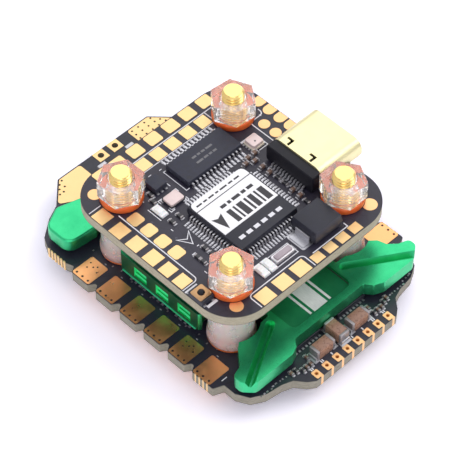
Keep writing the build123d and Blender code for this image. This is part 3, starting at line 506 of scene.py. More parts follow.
def soften(ob, width, segs=2, angle=30, mat=-1):
    """Rounds the sharp edges of a mesh and keeps the result."""
    md = ob.modifiers.new("edge", "BEVEL")
    md.width = width * MM
    md.segments = segs
    md.limit_method = "ANGLE"
    md.angle_limit = math.radians(angle)
    md.use_clamp_overlap = True
    md.material = mat
    md.miter_outer = "MITER_ARC"
    apply_mods(ob)


def apply_mods(ob):
    dg = bpy.context.evaluated_depsgraph_get()
    dg.update()
    me = bpy.data.meshes.new_from_object(ob.evaluated_get(dg), depsgraph=dg)
    old = ob.data
    ob.modifiers.clear()
    ob.data = me
    bpy.data.meshes.remove(old)


def cut(ob, cutter, op="DIFFERENCE"):
    md = ob.modifiers.new("cut", "BOOLEAN")
    md.object = cutter
    md.operation = op
    md.solver = "EXACT"
    apply_mods(ob)
    me = cutter.data
    bpy.data.objects.remove(cutter)
    bpy.data.meshes.remove(me)


def raw(b, name="tmp"):
    """A plain object from a Build, not riding on anything (a cutter)."""
    me = bpy.data.meshes.new(name)
    me.from_pydata([(x * MM, y * MM, z * MM) for x, y, z in b.v], [], b.f)
    for m in b.mats:
        me.materials.append(m)
    me.polygons.foreach_set("material_index", b.m)
    bm = bmesh.new(); bm.from_mesh(me)
    bmesh.ops.recalc_face_normals(bm, faces=bm.faces)
    bm.to_mesh(me); bm.free()
    ob = bpy.data.objects.new(name, me)
    bpy.context.scene.collection.objects.link(ob)
    return ob


def cad(node, m):
    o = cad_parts[node]
    o.data.materials.clear()
    o.data.materials.append(m)


# ------------------------------------------------------------------ carried-over CAD nodes
for n in ("fc_board",): cad(n, MASK)
for n in ("esc_board",): cad(n, MASK2)
for n in ("esc_battery_pads", "esc_capacitor_pads", "fc_pads_left", "fc_pads_back", "fc_pads_front"):
    cad(n, GOLD)
cad("fc_pads_round", GOLD2)
cad("esc_motor_pads", COPPER)
cad("esc_thermal_pads", TPAD)
for n in ("processor_leads", "overlay_chip_leads", "usb_pins", "link_socket_pins"):
    cad(n, TIN)

# ------------------------------------------------------------------ screws
def thread_rings(z0, z1, pitch, rmaj, rmin, n, per):
    rings, steps = [], int(round((z1 - z0) / pitch * per))
    for j in range(steps + 1):
        z = z0 + (z1 - z0) * j / steps
        ring = []
        for i in range(n):
            t = (z / pitch - i / n) % 1.0
            w = abs(2 * t - 1)                      # 1 at the crest, 0 at the root
            w = min(1.0, max(0.0, (w - 0.12) / 0.72))
            r = rmin + (rmaj - rmin) * w
            r = min(r, rmin + 0.0 + max(0.0, (z1 - z)) * 1.0 + 0.0) if z > z1 - 0.33 else r
            fade = min(1.0, max(0.0, (z - z0) / pitch))
            r = rmaj * (1 - fade) + r * fade
            a = 2 * math.pi * i / n
            ring.append((r * math.cos(a), r * math.sin(a), z))
        rings.append(ring)
    return rings


for key, (cx, cy) in CORNERS.items():
    b = Build()
    n = 48
    lower = []
    prof = [(0.95, HEAD_B + 0.95), (1.12, HEAD_B + 0.9), (1.14, HEAD_B + 0.06), (1.2, HEAD_B), (1.8, HEAD_B), (2.1, HEAD_B + 0.12), (2.38, HEAD_B + 0.35),
            (2.6, HEAD_B + 0.72), (2.69, HEAD_B + 1.1), (2.7, HEAD_B + 1.5), (2.68, HEAD_T - 0.05), (2.63, HEAD_T), (1.5, HEAD_T), (1.5, 8.6)]
    for k, (r, z) in enumerate(prof):
        ring = []
        for i in range(n):
            a = 2 * math.pi * i / n
            rr = r
            if k < 3:    # six-sided key socket
                seg = ((math.degrees(a)) % 60) - 30
                rr = 1.0 / math.cos(math.radians(seg)) * (0.985 if k else 0.8)
            ring.append((rr * math.cos(a), rr * math.sin(a), z))
        lower.append(ring)
    rings = lower + thread_rings(8.6 + 0.05, TIP, 0.5, 1.497, 1.19, n, 9)
    rings = [[(x + cx, y + cy, z) for x, y, z in r] for r in rings]
    b.loft(rings, BRASS)
    o = b.make("screw_thread_" + key, "screw_body_" + key, smooth=38)
    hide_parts("screw_" + key)

    # ---------------- clear hexagon nut: crisp flats, edges barely broken, threaded bore
    b = Build()
    n = 144
    ang0 = NUT_ANG[key]
    def hexr(a):
        seg = ((a - ang0) % 60) - 30
        return min(2.75 / math.cos(math.radians(seg)), 3.155)
    rings = []
    hgt = NUT_T - NUT_B
    levels = [("b", 1.85, 0.0), ("h", -0.22, 0.0), ("h", -0.06, 0.045), ("h", 0.0, 0.13), ("h", 0.0, hgt - 0.13), ("h", -0.05, hgt - 0.04), ("h", -0.14, hgt), ("b", 1.84, hgt), ("b", 1.58, hgt - 0.22)]
    k = 44
    for j in range(1, k):
        levels.append(("t", 0, hgt - 0.22 - (hgt - 0.44) * j / k))
    levels.append(("b", 1.58, 0.22))
    for kind, r, z in levels:
        ring = []
        for i in range(n):
            a = 360.0 * i / n + ang0
            if kind == "h":
                rr = hexr(a) + r
            elif kind == "b":
                rr = r
            else:
                t = (z / 0.5 - a / 360.0) % 1.0
                rr = 1.54 + 0.2 * min(1.0, max(0.0, (abs(2 * t - 1) - 0.15) / 0.7))
            ring.append((cx + rr * math.cos(math.radians(a)), cy + rr * math.sin(math.radians(a)), NUT_B + z))
        rings.append(ring)
    b.loft(rings, NUTM, close=True)
    o = b.make("clear_nut_" + key, "nut_body_" + key, smooth=24)
    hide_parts("nut_" + key)

# ------------------------------------------------------------------ bushes and spacers
b = Build()
for x, y in PTS:
    b.lathe([(1.56, HEAD_T + 0.02), (2.7, HEAD_T + 0.02), (2.85, HEAD_T + 0.1), (2.9, HEAD_T + 0.3), (2.9, -0.28), (2.84, -0.08), (2.7, 0.0),
             (2.05, 0.0), (2.05, ESC_T), (3.0, ESC_T), (3.1, ESC_T + 0.06), (3.13, ESC_T + 0.18), (3.1, ESC_T + 0.32), (3.0, SP_B), (1.56, SP_B)], x, y, RUBBER, 72)
o = b.make("lower_bushes", smooth=50)
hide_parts("esc_grommets")
b = Build()
for x, y in PTS:
    b.lathe([(1.56, SP_T), (2.7, SP_T), (2.86, SP_T + 0.08), (2.9, SP_T + 0.22), (2.9, FC_B - 0.2), (2.85, FC_B - 0.06), (2.7, FC_B), (2.05, FC_B), (2.05, FC_T),
             (2.74, FC_T), (2.86, FC_T + 0.07), (2.9, FC_T + 0.22), (2.9, GR_T - 0.32), (2.87, GR_T - 0.14), (2.79, GR_T - 0.04), (2.62, GR_T), (1.56, GR_T)], x, y, RUBBER, 72)
o = b.make("upper_bushes", smooth=50)
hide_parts("fc_grommets")
b = Build()
for x, y in PTS:
    b.lathe([(1.6, SP_B), (3.1, SP_B), (3.19, SP_B + 0.06), (3.22, SP_B + 0.2), (3.22, SP_B + 0.8), (3.17, SP_B + 0.98), (3.04, SP_B + 1.2), (3.0, SP_B + 1.42),
             (3.0, SP_T - 0.32), (2.95, SP_T - 0.12), (2.82, SP_T), (1.6, SP_T)], x, y, SPACERM, 72)
o = b.make("clear_spacers", smooth=50)
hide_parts("board_spacers")

# ------------------------------------------------------------------ heat sink
FRONT = rounded([(-16.1, -16.5), (-16.1, -17.9), (-14.8, -19.3), (-8.4, -19.3), (-7.2, -18.8), (-6.5, -17.8),
                 (6.0, -17.8), (6.8, -18.9), (8.2, -19.5), (13.6, -19.5), (15.6, -18.1), (15.6, -16.9),
                 (14.1, -16.4), (13.0, -15.4), (12.6, -14.1), (11.6, -13.2), (6.0, -12.9), (6.0, 0.0), (-6.2, 0.0), (-6.2, -12.9),
                 (-11.8, -13.2), (-12.7, -13.9), (-14.4, -16.0)],
                [0.7, 1.0, 1.0, 0.4, 0.4, 0.4, 0.4, 0.4, 0.4, 0.9, 0.9, 0.7] + [0.4] * 11, 5)
BACK = rounded([(-16.5, 13.6), (-11.8, 13.2), (-6.2, 12.9), (-6.2, 0.0), (6.0, 0.0), (6.0, 12.9), (11.4, 13.2), (16.0, 13.6),
                (16.0, 17.9), (12.9, 19.5), (9.2, 18.4), (-9.7, 18.4), (-13.4, 19.5), (-16.5, 17.9)],
               [1.9, 0.5, 0.4, 0.4, 0.4, 0.4, 0.5, 1.9, 1.5, 1.2, 0.8, 0.8, 1.2, 1.5], 8)
b = Build(); b.prism(FRONT, HS_B, HS_T, GREEN)
hs = raw(b, "heat_sink_shell")
b = Build(); b.prism(BACK, HS_B, HS_T, GREEN)
arm = raw(b)
bm = bmesh.new(); bm.from_mesh(arm.data)
top = [e for e in bm.edges if all(v.co.z > (HS_T - 0.01) * MM and v.co.y > 5 * MM for v in e.verts)]
bmesh.ops.bevel(bm, geom=top, offset=0.38 * MM, segments=4, profile=0.5, affect="EDGES", clamp_overlap=True)
bm.to_mesh(arm.data); bm.free()
cut(hs, arm, "UNION")
b = Build(); b.box(-0.15, 0, HS_B, HS_C, 26.1, 14.8, GREEN, rim=0.5)
cut(hs, raw(b), "UNION")
b = Build()
for x, y in PTS:
    b.prism([(x + 3.75 * math.cos(2 * math.pi * i / 64), y + 3.75 * math.sin(2 * math.pi * i / 64)) for i in range(64)], HS_B - 1, HS_C + 1, GREEN)
cut(hs, raw(b))
# pocket in the front bridge
b = Build(); b.box(-0.2, -12.05, HS_T - 0.5, HS_C + 1, 10.6, 9.3, GREEN, rim=0.9)
cut(hs, raw(b))
# diagonal grooves, narrowing to a rounded end beside the pocket
for (ax, ay), (bx, by) in (((-6.9, -13.9), (-17.2, -19.75)), ((6.2, -13.9), (16.6, -20.5))):
    d = norm2((bx - ax, by - ay)); nx, ny = -d[1], d[0]
    rings = []
    for t, s in ((-0.42, 0.25), (-0.3, 0.62), (-0.12, 0.86), (0.15, 1.0), (12.0, 1.0)):
        px, py = ax + d[0] * t, ay + d[1] * t
        rings.append([(px + nx * u * s, py + ny * u * s, HS_T + w) for u, w in
                      ((-0.62, 0.4), (-0.62, 0.0), (-0.14, -0.85), (0.14, -0.85), (0.62, 0.0), (0.62, 0.4))])
    b = Build(); b.loft(rings, GREEN)
    cut(hs, raw(b))
# windows in the long sides: three fine ledges each
WIN_Y = (-4.65, -0.6, 3.45)
for s, xs in ((-1, -13.2), (1, 12.9)):
    for y in WIN_Y:
        z = [HS_B + 0.62 + 0.46 * k for k in range(5)]
        d = [0.25 + 0.22 * k for k in range(4)]
        prof = [(xs + s * 0.4, z[0])]
        for k in range(4):
            prof += [(xs - s * d[k], z[k]), (xs - s * d[k], z[k + 1])]
        prof.append((xs + s * 0.4, z[4]))
        b = Build()
        b.loft([[(px, y - 1.15, pz) for px, pz in prof], [(px, y + 1.15, pz) for px, pz in prof]], GREEN)
        cut(hs, raw(b))
for m in (GREEN_EDGE_HIGHLIGHT, GREEN_POCKET_SHADE, GREEN_WALL_SHADE, GREEN_WINDOW_LIT):
    hs.data.materials.append(m)
# the bevel faces get the bright edge green (material 1): a painted highlight along the edges
soften(hs, 0.11, 2, 28, 1)
for f in hs.data.polygons:
    c, nn = f.center / MM, f.normal
    win = any(abs(c.y - y) < 1.2 for y in WIN_Y) and abs(c.x + 0.15) > 11.6 and HS_B + 0.6 < c.z < HS_B + 2.48
    if win and abs(c.x + 0.15) < 13.0:
        # window risers get the lighter green copy: painted light; the ledges keep the plain green
        f.material_index = 0 if nn.z > 0.35 else 4
    elif f.material_index == 1:
        if c.z < HS_T - 0.2 and abs(c.x + 0.15) < 12.5 and c.y > -12.5:
            f.material_index = 0
    elif nn.z > 0.9 and c.z < HS_T - 0.4 and abs(c.x + 0.2) < 5.6 and c.y < -7.2:
        # pocket floor gets the darker green copy: painted shade under the upper board
        f.material_index = 2
    elif abs(nn.x) > 0.9 and abs(abs(c.x + 0.15) - 13.05) < 0.05 and abs(c.y) < 7.3:
        # long side walls get the darkest green copy: painted shade under the upper board
        f.material_index = 3
smooth_by_angle(hs, 30)
wn_ = hs.modifiers.new("even", "WEIGHTED_NORMAL")
wn_.keep_sharp = True
wn_.weight = 100
apply_mods(hs)
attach(hs, "stack"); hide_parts("heat_sink")
# printed bands in the pocket, and a thin dark strip of painted shade along the foot of the pocket's right wall
b = Build()
PZ = HS_T - 0.5
b.prism([(-1.3, -16.25), (1.05, -16.25), (1.05, -7.9), (-1.3, -7.9)], PZ, PZ + 0.012, RIBBON)
b.prism([(-2.05, -16.2), (-1.7, -16.2), (-1.7, -7.9), (-2.05, -7.9)], PZ, PZ + 0.012, RIBBON)
b.prism([(1.45, -16.2), (1.8, -16.2), (1.8, -7.9), (1.45, -7.9)], PZ, PZ + 0.012, RIBBON)
# thin dark strip at x 4.92 to 5.06: painted shade along the foot of the pocket's right wall
b.prism([(4.92, -16.3), (5.06, -16.3), (5.06, -12.4), (4.92, -12.4)], PZ, PZ + 0.012, INK)
# thin lip along the foot of both long walls in the bright edge green: a painted highlight
for x in (-13.27, 12.97):
    b.box(x, 0, HS_B, HS_B + 0.12, 0.16, 13.6, GREEN_EDGE_HIGHLIGHT, rim=0.05)
o = b.make("heat_sink_bands_painted_shade_and_highlight")

# ------------------------------------------------------------------ chips
def package(b, cx, cy, z0, z1, sx, sy, m, draft=0.09, mid=0.5, edge=0.06, standoff=0.06):
    """Moulded package: two drafted halves meeting at the lead plane, edges slightly rounded."""
    zm = z0 + (z1 - z0) * mid
    r = 0.1
    spec = [(z0 + standoff, sx - 2 * draft - 2 * edge, sy - 2 * draft - 2 * edge), (z0 + standoff + edge, sx - 2 * draft, sy - 2 * draft),
            (zm, sx, sy), (z1 - edge, sx - 2 * draft, sy - 2 * draft), (z1 - edge * 0.3, sx - 2 * draft - edge * 0.6, sy - 2 * draft - edge * 0.6),
            (z1, sx - 2 * draft - 2 * edge, sy - 2 * draft - 2 * edge)]
    b.loft([[(cx + x, cy + y, z) for x, y in rrect(a, c, r, 3)] for z, a, c in spec], m)


b = Build()
package(b, MCU[0], MCU[1], FC_T + 0.04, FC_T + 1.45, 10.0, 10.0, CHIP2, 0.1, 0.5)
o = b.make("processor_case", smooth=32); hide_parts("processor_body")
b = Build()
package(b, OSD[0], OSD[1], FC_T + 0.04, FC_T + 0.98, 9.7, 4.4, CHIP, 0.08, 0.5)
b.disc(OSD[0] - 4.1, OSD[1] - 1.45, FC_T + 0.98, 0.28, CHIP2, 0.01)
for k, (yy, spans) in enumerate(((0.55, [(-1.6, -0.9), (-0.7, -0.2), (0.0, 0.6), (0.8, 1.9)]), (-0.45, [(-1.7, -0.6), (-0.4, 0.3), (0.5, 1.0), (1.2, 1.8)]))):
    for a, c in spans:
        b.box(OSD[0] + (a + c) / 2, OSD[1] + yy, FC_T + 0.98, FC_T + 0.986, c - a, 0.32, MARK)
o = b.make("overlay_chip_case", smooth=32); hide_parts("overlay_chip_body")

# processor label: white paper, generic arrow and bars in place of print
LZ = FC_T + 1.45
b = Build()
lx, ly = MCU[0], MCU[1] + 1.55
outl = rounded([(lx - 4.7, ly - 3.325), (lx + 4.7, ly - 3.325), (lx + 4.7, ly + 3.325), (lx - 4.7, ly + 3.325)], [0.02, 0.02, 0.85, 0.85], 5)
b.prism(outl, LZ, LZ + 0.035, LABEL)
z = LZ + 0.035
b.box(lx, 0.42, z, z + 0.005, 9.4, 0.13, INK)
b.prism([(-5.45, -1.75), (-4.62, -2.15), (-3.75, -1.75), (-4.62, -4.35)], z, z + 0.005, INK)
x = -3.1
for w, g in ((0.75, 0.35), (0.3, 0.3), (0.95, 0.35), (0.35, 0.3), (0.75, 0.35), (0.3, 0.3), (0.9, 0.3)):
    b.box(x + w / 2, -3.15, z, z + 0.005, w, 2.3, INK); x += w + g
x = -3.1
for w in (0.9, 0.5, 1.3, 0.7, 1.0):
    b.box(x + w / 2, -1.1, z, z + 0.005, w, 0.5, INK); x += w + 0.3
x = -5.2
for w in (0.9, 0.6, 0.9, 0.5, 1.2, 0.7, 0.9):
    b.box(x + w / 2, 1.15, z, z + 0.005, w, 0.26, INK); x += w + 0.3
o = b.make("processor_sticker"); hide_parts("processor_label")
# pale dashes moulded on the dark strip under the label
b = Build()
x = -4.9
for w in (0.85, 0.85, 0.85, 0.85, 0.85, 0.85):
    b.box(x + w / 2, -6.35, LZ + 0.0005, LZ + 0.007, w, 0.55, SILK, bev=0); x += w + 0.45
o = b.make("processor_marks")

# solder joints at the leads of both chips
def joints(b, cx, cy, half, n, pitch, axis, z, wid, reach):
    for s in (-1, 1):
        for i in range(n):
            o = (i - (n - 1) / 2) * pitch
            x, y = (cx + s * half, cy + o) if axis == "x" else (cx + o, cy + s * half)
            lx_, ly_ = (reach, wid) if axis == "x" else (wid, reach)
            b.box(x, y, z, z + 0.035, lx_, ly_, TIN)
            # heel and toe fillets
            for t, hh in ((-0.36, 0.16), (0.5, 0.10)):
                xx, yy = (x + s * t, y) if axis == "x" else (x, y + s * t)
                b.box(xx, yy, z, z + hh, 0.2 if axis == "x" else wid * 0.85, wid * 0.85 if axis == "x" else 0.2, TIN, bev=0.06)


b = Build()
joints(b, MCU[0], MCU[1], 5.92, 16, 0.5, "x", FC_T, 0.29, 1.25)
joints(b, MCU[0], MCU[1], 5.92, 16, 0.5, "y", FC_T, 0.29, 1.25)
joints(b, OSD[0], OSD[1], 3.0, 14, 0.65, "y", FC_T, 0.36, 1.2)
for i in range(12):
    b.box(USB_X0 - 2.15, USB_Y + (i - 5.5) * 0.5, FC_T, FC_T + 0.04, 0.9, 0.28, TIN)
    b.box(USB_X0 - 2.45, USB_Y + (i - 5.5) * 0.5, FC_T, FC_T + 0.13, 0.24, 0.24, TIN, bev=0.05)
o = b.make("solder_joints", smooth=40)


# ------------------------------------------------------------------ small chip parts
def chip_part(b, cx, cy, z, L, W, H, body, rot=0.0, term=0.28, tm=TERM, solder=True, rim=0.04):
    """A two-terminal chip part with its ends, edges broken, and a solder fillet at each end. L runs along x before rot."""
    c, s = math.cos(math.radians(rot)), math.sin(math.radians(rot))
    P = lambda u, v: (cx + u * c - v * s, cy + u * s + v * c)
    e = min(0.05, H * 0.12)
    b.box(cx, cy, z + 0.02, z + H - 0.012, L - 2 * term + 0.01, W - 0.03, body, rot, bev=e)
    for sg in (-1, 1):
        x, y = P(sg * (L / 2 - term / 2), 0)
        b.box(x, y, z + 0.01, z + H, term, W, tm, rot, bev=e, rim=rim)
        if solder:
            x, y = P(sg * (L / 2 + 0.1), 0)
            b.box(x, y, z, z + H * 0.34, 0.22, W * 0.9, TIN, rot, bev=min(0.09, H * 0.2))
            x, y = P(sg * (L / 2 + 0.02), 0)
            b.box(x, y, z, z + 0.03, L * 0.28, W * 1.16, TIN, rot)


# brown ceramic capacitors and glazed resistors of the upper board
b = Build()
for x, y in [(6.35, 2.3), (6.35, 0.9), (6.35, -0.4), (6.35, -4.6), (6.35, -5.9), (5.15, 2.75), (7.3, 3.3), (6.0, 3.3)]:
    chip_part(b, x, y, FC_T, 1.0, 0.5, 0.5, CER2, 0, 0.24)
o = b.make("upper_capacitors", smooth=30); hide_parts("fc_capacitors")
b = Build()
for x, y in [(-8.3, 2.4), (-6.95, 2.45), (-7.75, 6.5), (-7.2, 7.6), (-8.35, -3.6), (-8.3, -4.9), (-7.6, -6.1), (6.5, -1.75), (6.5, -3.1), (6.3, -7.2),
             (-10.0, -5.0), (-10.0, -4.0)]:
    chip_part(b, x, y, FC_T, 1.0, 0.5, 0.35, RESI, 90, 0.22)
o = b.make("upper_resistors", smooth=30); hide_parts("fc_resistors")
b = Build()
for x, y in ((-8.25, 4.8), (-5.85, -11.15), (-4.55, -11.15)):
    b.box(x, y, FC_T + 0.02, FC_T + 0.32, 1.1, 1.25, LED, bev=0.04)
    b.box(x, y, FC_T + 0.3, FC_T + 0.55, 0.95, 1.1, LED, bev=0.12)
    for s in (-1, 1):
        b.box(x, y + s * 0.82, FC_T, FC_T + 0.3, 1.1, 0.36, LED, bev=0.05)
        b.box(x, y + s * 1.0, FC_T, FC_T + 0.12, 1.15, 0.3, TIN, bev=0.04)
o = b.make("upper_leds", smooth=30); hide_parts("status_leds")
b = Build()
b.box(-5.65, 4.95, FC_T, FC_T + 0.3, 2.5, 2.0, CHIP2, rim=0.2)
b.box(-5.65, 4.95, FC_T + 0.3, FC_T + 0.65, 2.3, 1.8, PINK, bev=0.07, rim=0.25)
b.box(-2.2, -11.25, FC_T, FC_T + 0.55, 3.2, 1.3, SILVER, bev=0.05, rim=0.22)
# inner lid in the darker mauve: painted dark reflection
b.box(-2.2, -11.25, FC_T + 0.55, FC_T + 0.75, 2.7, 0.86, LID_DARK_REFLECTION, bev=0.06, rim=0.16)
for s in (-1, 1):
    b.box(-2.2 + s * 1.75, -11.25, FC_T, FC_T + 0.06, 0.5, 1.0, TIN, bev=0.02)
    for t in (-1, 1):
        b.box(-5.65 + s * 1.05, 4.95 + t * 0.85, FC_T, FC_T + 0.12, 0.6, 0.6, TIN, bev=0.04)
o = b.make("crystal_cans", smooth=30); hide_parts("crystals")
b = Build()
b.box(8.5, 4.6, FC_T, FC_T + 0.3, 2.0, 2.0, IVORY, rim=0.1)
b.box(8.5, 4.6, FC_T + 0.3, FC_T + 0.85, 1.85, 1.85, PINK, bev=0.08, rim=0.25)
b.disc(8.42, 4.35, FC_T + 0.846, 0.13, INK, 0.008)
for t in (-0.75, -0.25, 0.25, 0.75):
    for s in (-1, 1):
        b.box(8.5 + s * 1.1, 4.6 + t, FC_T, FC_T + 0.06, 0.3, 0.26, TIN)
o = b.make("barometer_can", smooth=30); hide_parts("barometer")
b = Build()
package(b, -5.65, 8.3, FC_T, FC_T + 0.95, 2.1, 2.3, CHIP, 0.05, 0.4)
for s in (-1, 1):
    for t in (-0.7, 0, 0.7):
        b.box(-5.65 + t, 8.3 + s * 1.22, FC_T, FC_T + 0.1, 0.34, 0.3, TIN, bev=0.03)
o = b.make("gyro_case", smooth=32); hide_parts("gyro_sensor")

# rectifier with its folded tabs
b = Build()
package(b, 4.17, -10.95, FC_T + 0.06, FC_T + 2.32, 4.94, 4.5, CHIP2, 0.16, 0.48, 0.16, 0.06)
o = b.make("rectifier_case", smooth=32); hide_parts("rectifier_body")
b = Build()
b.box(1.15, -11.0, FC_T, FC_T + 0.06, 1.9, 3.1, TIN, rim=0.3)
b.box(1.05, -11.0, FC_T + 0.06, FC_T + 0.2, 1.35, 2.5, TIN, bev=0.06, rim=0.2)
b.box(1.58, -11.0, FC_T + 0.1, FC_T + 1.25, 0.22, 2.4, TIN, bev=0.05)
b.box(6.8, -11.6, FC_T, FC_T + 0.13, 0.36, 2.0, TIN, bev=0.04)
b.box(6.71, -11.7, FC_T + 0.1, FC_T + 1.25, 0.12, 1.8, TIN, bev=0.03)
o = b.make("rectifier_leads", smooth=30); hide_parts("rectifier_tabs")

# ------------------------------------------------------------------ USB socket
def tube_x(b, x0, x1, sy, sz, r, t, m, flare=0.0, k=6):
    out = rrect(sy, sz, r, k); inn = rrect(sy - 2 * t, sz - 2 * t, r - t, k)
    e = 0.06
    ring = lambda o, x, sc=1.0: [(x, USB_Y + u * sc, USB_Z + v * sc) for u, v in o]
    rings = [ring(inn, x0), ring(out, x0), ring(out, x1 - e), ring([(u * 0.5 + a * 0.5, v * 0.5 + c * 0.5) for (u, v), (a, c) in zip(out, inn)], x1, 1.0), ring(inn, x1 - e)]
    b.loft(rings, m, close=True)


b = Build()
tube_x(b, USB_X0, USB_X1, 8.94, 3.26, 1.45, 0.3, CHAMP)
ush = raw(b, "usb_can")
for s in (2.0, -2.0):
    for q in ((USB_X0 + 0.75, USB_Y + s, 1.15, 0.38), (USB_X0 + 1.15, USB_Y + s + 0.35, 0.36, 1.05)):
        b = Build()
        b.box(q[0], q[1], USB_Z + 1.0, USB_Z + 2.0, q[2], q[3], CHAMP)
        cut(ush, raw(b))
print("usb faces", len(ush.data.polygons))
smooth_by_angle(ush, 32)
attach(ush, "stack"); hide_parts("usb_shell")
b = Build()
ring = lambda x, sy, sz, r, zc: [(x, USB_Y + u, zc + v) for u, v in rrect(sy, sz, r, 4)]
zc = FC_T + 1.52
b.loft([ring(USB_X0 - 1.5, 8.2, 2.6, 0.4, zc), ring(USB_X0 - 1.4, 8.45, 2.85, 0.5, zc), ring(USB_X0, 8.5, 2.9, 0.5, zc)], BLACKP)
b.loft([ring(USB_X0, 8.3, 2.62, 1.18, USB_Z), ring(USB_X0 + 0.14, 8.3, 2.62, 1.18, USB_Z)], BLACKP)
b.loft([ring(USB_X0 + 0.14, 7.2, 1.9, 0.6, USB_Z), ring(USB_X0 + 1.3, 7.15, 1.85, 0.6, USB_Z), ring(USB_X0 + 1.34, 7.0, 1.7, 0.5, USB_Z)], BLACKP)
o = b.make("usb_moulding", smooth=30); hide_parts("usb_housing")
b = Build()
b.loft([ring(USB_X0 + 1.34, 6.69, 0.7, 0.05, USB_Z), ring(USB_X0 + 6.25, 6.69, 0.7, 0.05, USB_Z), ring(USB_X0 + 6.44, 6.5, 0.34, 0.05, USB_Z)], BLACKP)
for i in range(12):
    for s in (-1, 1):
        b.box(USB_X0 + 4.0, USB_Y + (i - 5.5) * 0.5, USB_Z + (0.35 if s > 0 else -0.365), USB_Z + (0.365 if s > 0 else -0.35), 3.6, 0.25, GOLD)
o = b.make("usb_blade", smooth=30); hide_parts("usb_tongue")
b = Build()
for x in (USB_X0 + 1.5, USB_X0 + 4.6):
    for s in (-1, 1):
        b.box(x, USB_Y + s * 4.42, FC_T, FC_T + 0.35, 1.2, 0.22 if s < 0 else 0.6, TIN, bev=0.08, rim=0.08)
o = b.make("usb_anchor_solder", smooth=40)

# ------------------------------------------------------------------ boot button
b = Build()
b.box(BTN[0], BTN[1], FC_T, FC_T + 0.74, 2.1, 2.6, CHIP2, bev=0.05, rim=0.1)
cut_b = Build()
cut_b.prism([(BTN[0] + 0.65 * math.cos(2 * math.pi * i / 32), BTN[1] + 0.65 * math.sin(2 * math.pi * i / 32)) for i in range(32)], FC_T + 0.25, FC_T + 2, CHIP2)
bb = raw(b, "button_case"); cut(bb, raw(cut_b)); smooth_by_angle(bb, 32)
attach(bb, "stack"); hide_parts("boot_button_base")
b = Build()
b.box(BTN[0], BTN[1], FC_T + 0.74, FC_T + 0.87, 2.0, 2.0, PLATE, bev=0.04, rim=0.2)
cut_b = Build()
cut_b.prism([(BTN[0] + 0.5 * math.cos(2 * math.pi * i / 32), BTN[1] + 0.5 * math.sin(2 * math.pi * i / 32)) for i in range(32)], FC_T, FC_T + 2, GOLD)
bb = raw(b, "button_cover"); cut(bb, raw(cut_b)); smooth_by_angle(bb, 32)
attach(bb, "stack"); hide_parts("boot_button_plate")
b = Build()
b.lathe([(0.0005, FC_T + 0.5), (0.45, FC_T + 0.5), (0.45, FC_T + 0.86), (0.41, FC_T + 0.9), (0.40, FC_T + 1.08), (0.36, FC_T + 1.13), (0.30, FC_T + 1.15), (0.0005, FC_T + 1.15)], BTN[0], BTN[1], BLACKP, 36, closed=False)
o = b.make("button_stem", "button_body", smooth=40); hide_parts("boot_button_plunger")
b = Build()
for s in (-1, 1):
    for t in (-0.7, 0.7):
        b.box(BTN[0] + t, BTN[1] + s * 1.38, FC_T, FC_T + 0.12, 0.45, 0.35, TIN, bev=0.04)
o = b.make("button_solder", smooth=40)

# ------------------------------------------------------------------ printing on the upper board
b = Build()
Z = FC_T
W = 0.15
arc = lambda cx, cy, r, a0, a1, k=6: [(cx + r * math.cos(math.radians(a0 + (a1 - a0) * i / k)), cy + r * math.sin(math.radians(a0 + (a1 - a0) * i / k))) for i in range(k + 1)]
b.line([(-12.4, 8.0)] + arc(-13.0, -5.9, 0.6, 0, -90) + [(-15.0, -6.5)], W, Z, SILK)
b.line([(-14.9, 10.85), (-12.9, 10.85)], 0.13, Z, SILK)
b.line([(-9.93, -0.1), (-8.85, -0.9), (-7.8, -0.05), (-8.85, -1.95)], 0.13, Z, SILK, close=True)
b.line([(-15.0, -6.95), (-13.0, -6.95)], 0.28, Z, SILK)
b.line([(-14.6, -10.5), (-12.95, -10.5)], 0.42, Z, SILK)
b.line([(-9.8, -15.2)] + arc(-9.2, -13.45, 0.6, 180, 90) + arc(-0.95, -13.45, 0.6, 90, 0) + [(-0.35, -15.2)], W, Z, SILK)
b.line([(-5.3, 13.15), (10.3, 13.15)], W, Z, SILK)
b.line([(-5.5, 11.0), (7.7, 11.0)], 0.12, Z, SILK)
b.line([(7.7, 11.0), (7.7, 13.1)], W, Z, SILK)
b.line([(10.7, 3.1)] + arc(11.3, 7.0, 0.6, 180, 90) + [(12.6, 7.6)] + arc(12.6, 8.2, 0.6, -90, 0) + [(13.2, 8.6)], W, Z, SILK)
b.line([(10.7, 3.1), (12.3, 3.1)], W, Z, SILK)
b.line([(0.8, -13.62), (7.1, -13.62), (7.1, -12.9)], W, Z, SILK)
b.line([(-4.0, -12.05), (-4.0, -10.2), (-0.35, -10.2), (-0.35, -12.15), (-3.9, -12.15)], 0.12, Z, SILK)
for sx in (-1, 1):
    b.line([(-5.65 + sx * 0.9, 3.72), (-5.65 + sx * 1.55, 3.72), (-5.65 + sx * 1.55, 4.3)], 0.12, Z, SILK)
    b.line([(-5.65 + sx * 0.9, 6.2), (-5.65 + sx * 1.55, 6.2), (-5.65 + sx * 1.55, 5.6)], 0.12, Z, SILK)
b.line([(-2.95, 9.3), (-3.3, 9.3), (-3.3, 5.0), (-2.75, 5.0)], 0.12, Z, SILK)
b.line([(7.2, 3.35 + 2.5), (7.2, 5.85), (9.75, 5.85), (9.75, 3.3), (8.2, 3.3)], 0.12, Z, SILK)
b.line([(-4.3, 7.0), (-4.3, 9.6)], 0.12, Z, SILK)
b.line([(-7.0, 9.75), (-6.3, 9.75)], 0.12, Z, SILK)
b.line([(-9.1, 3.6), (-9.1, 6.1)], 0.12, Z, SILK)
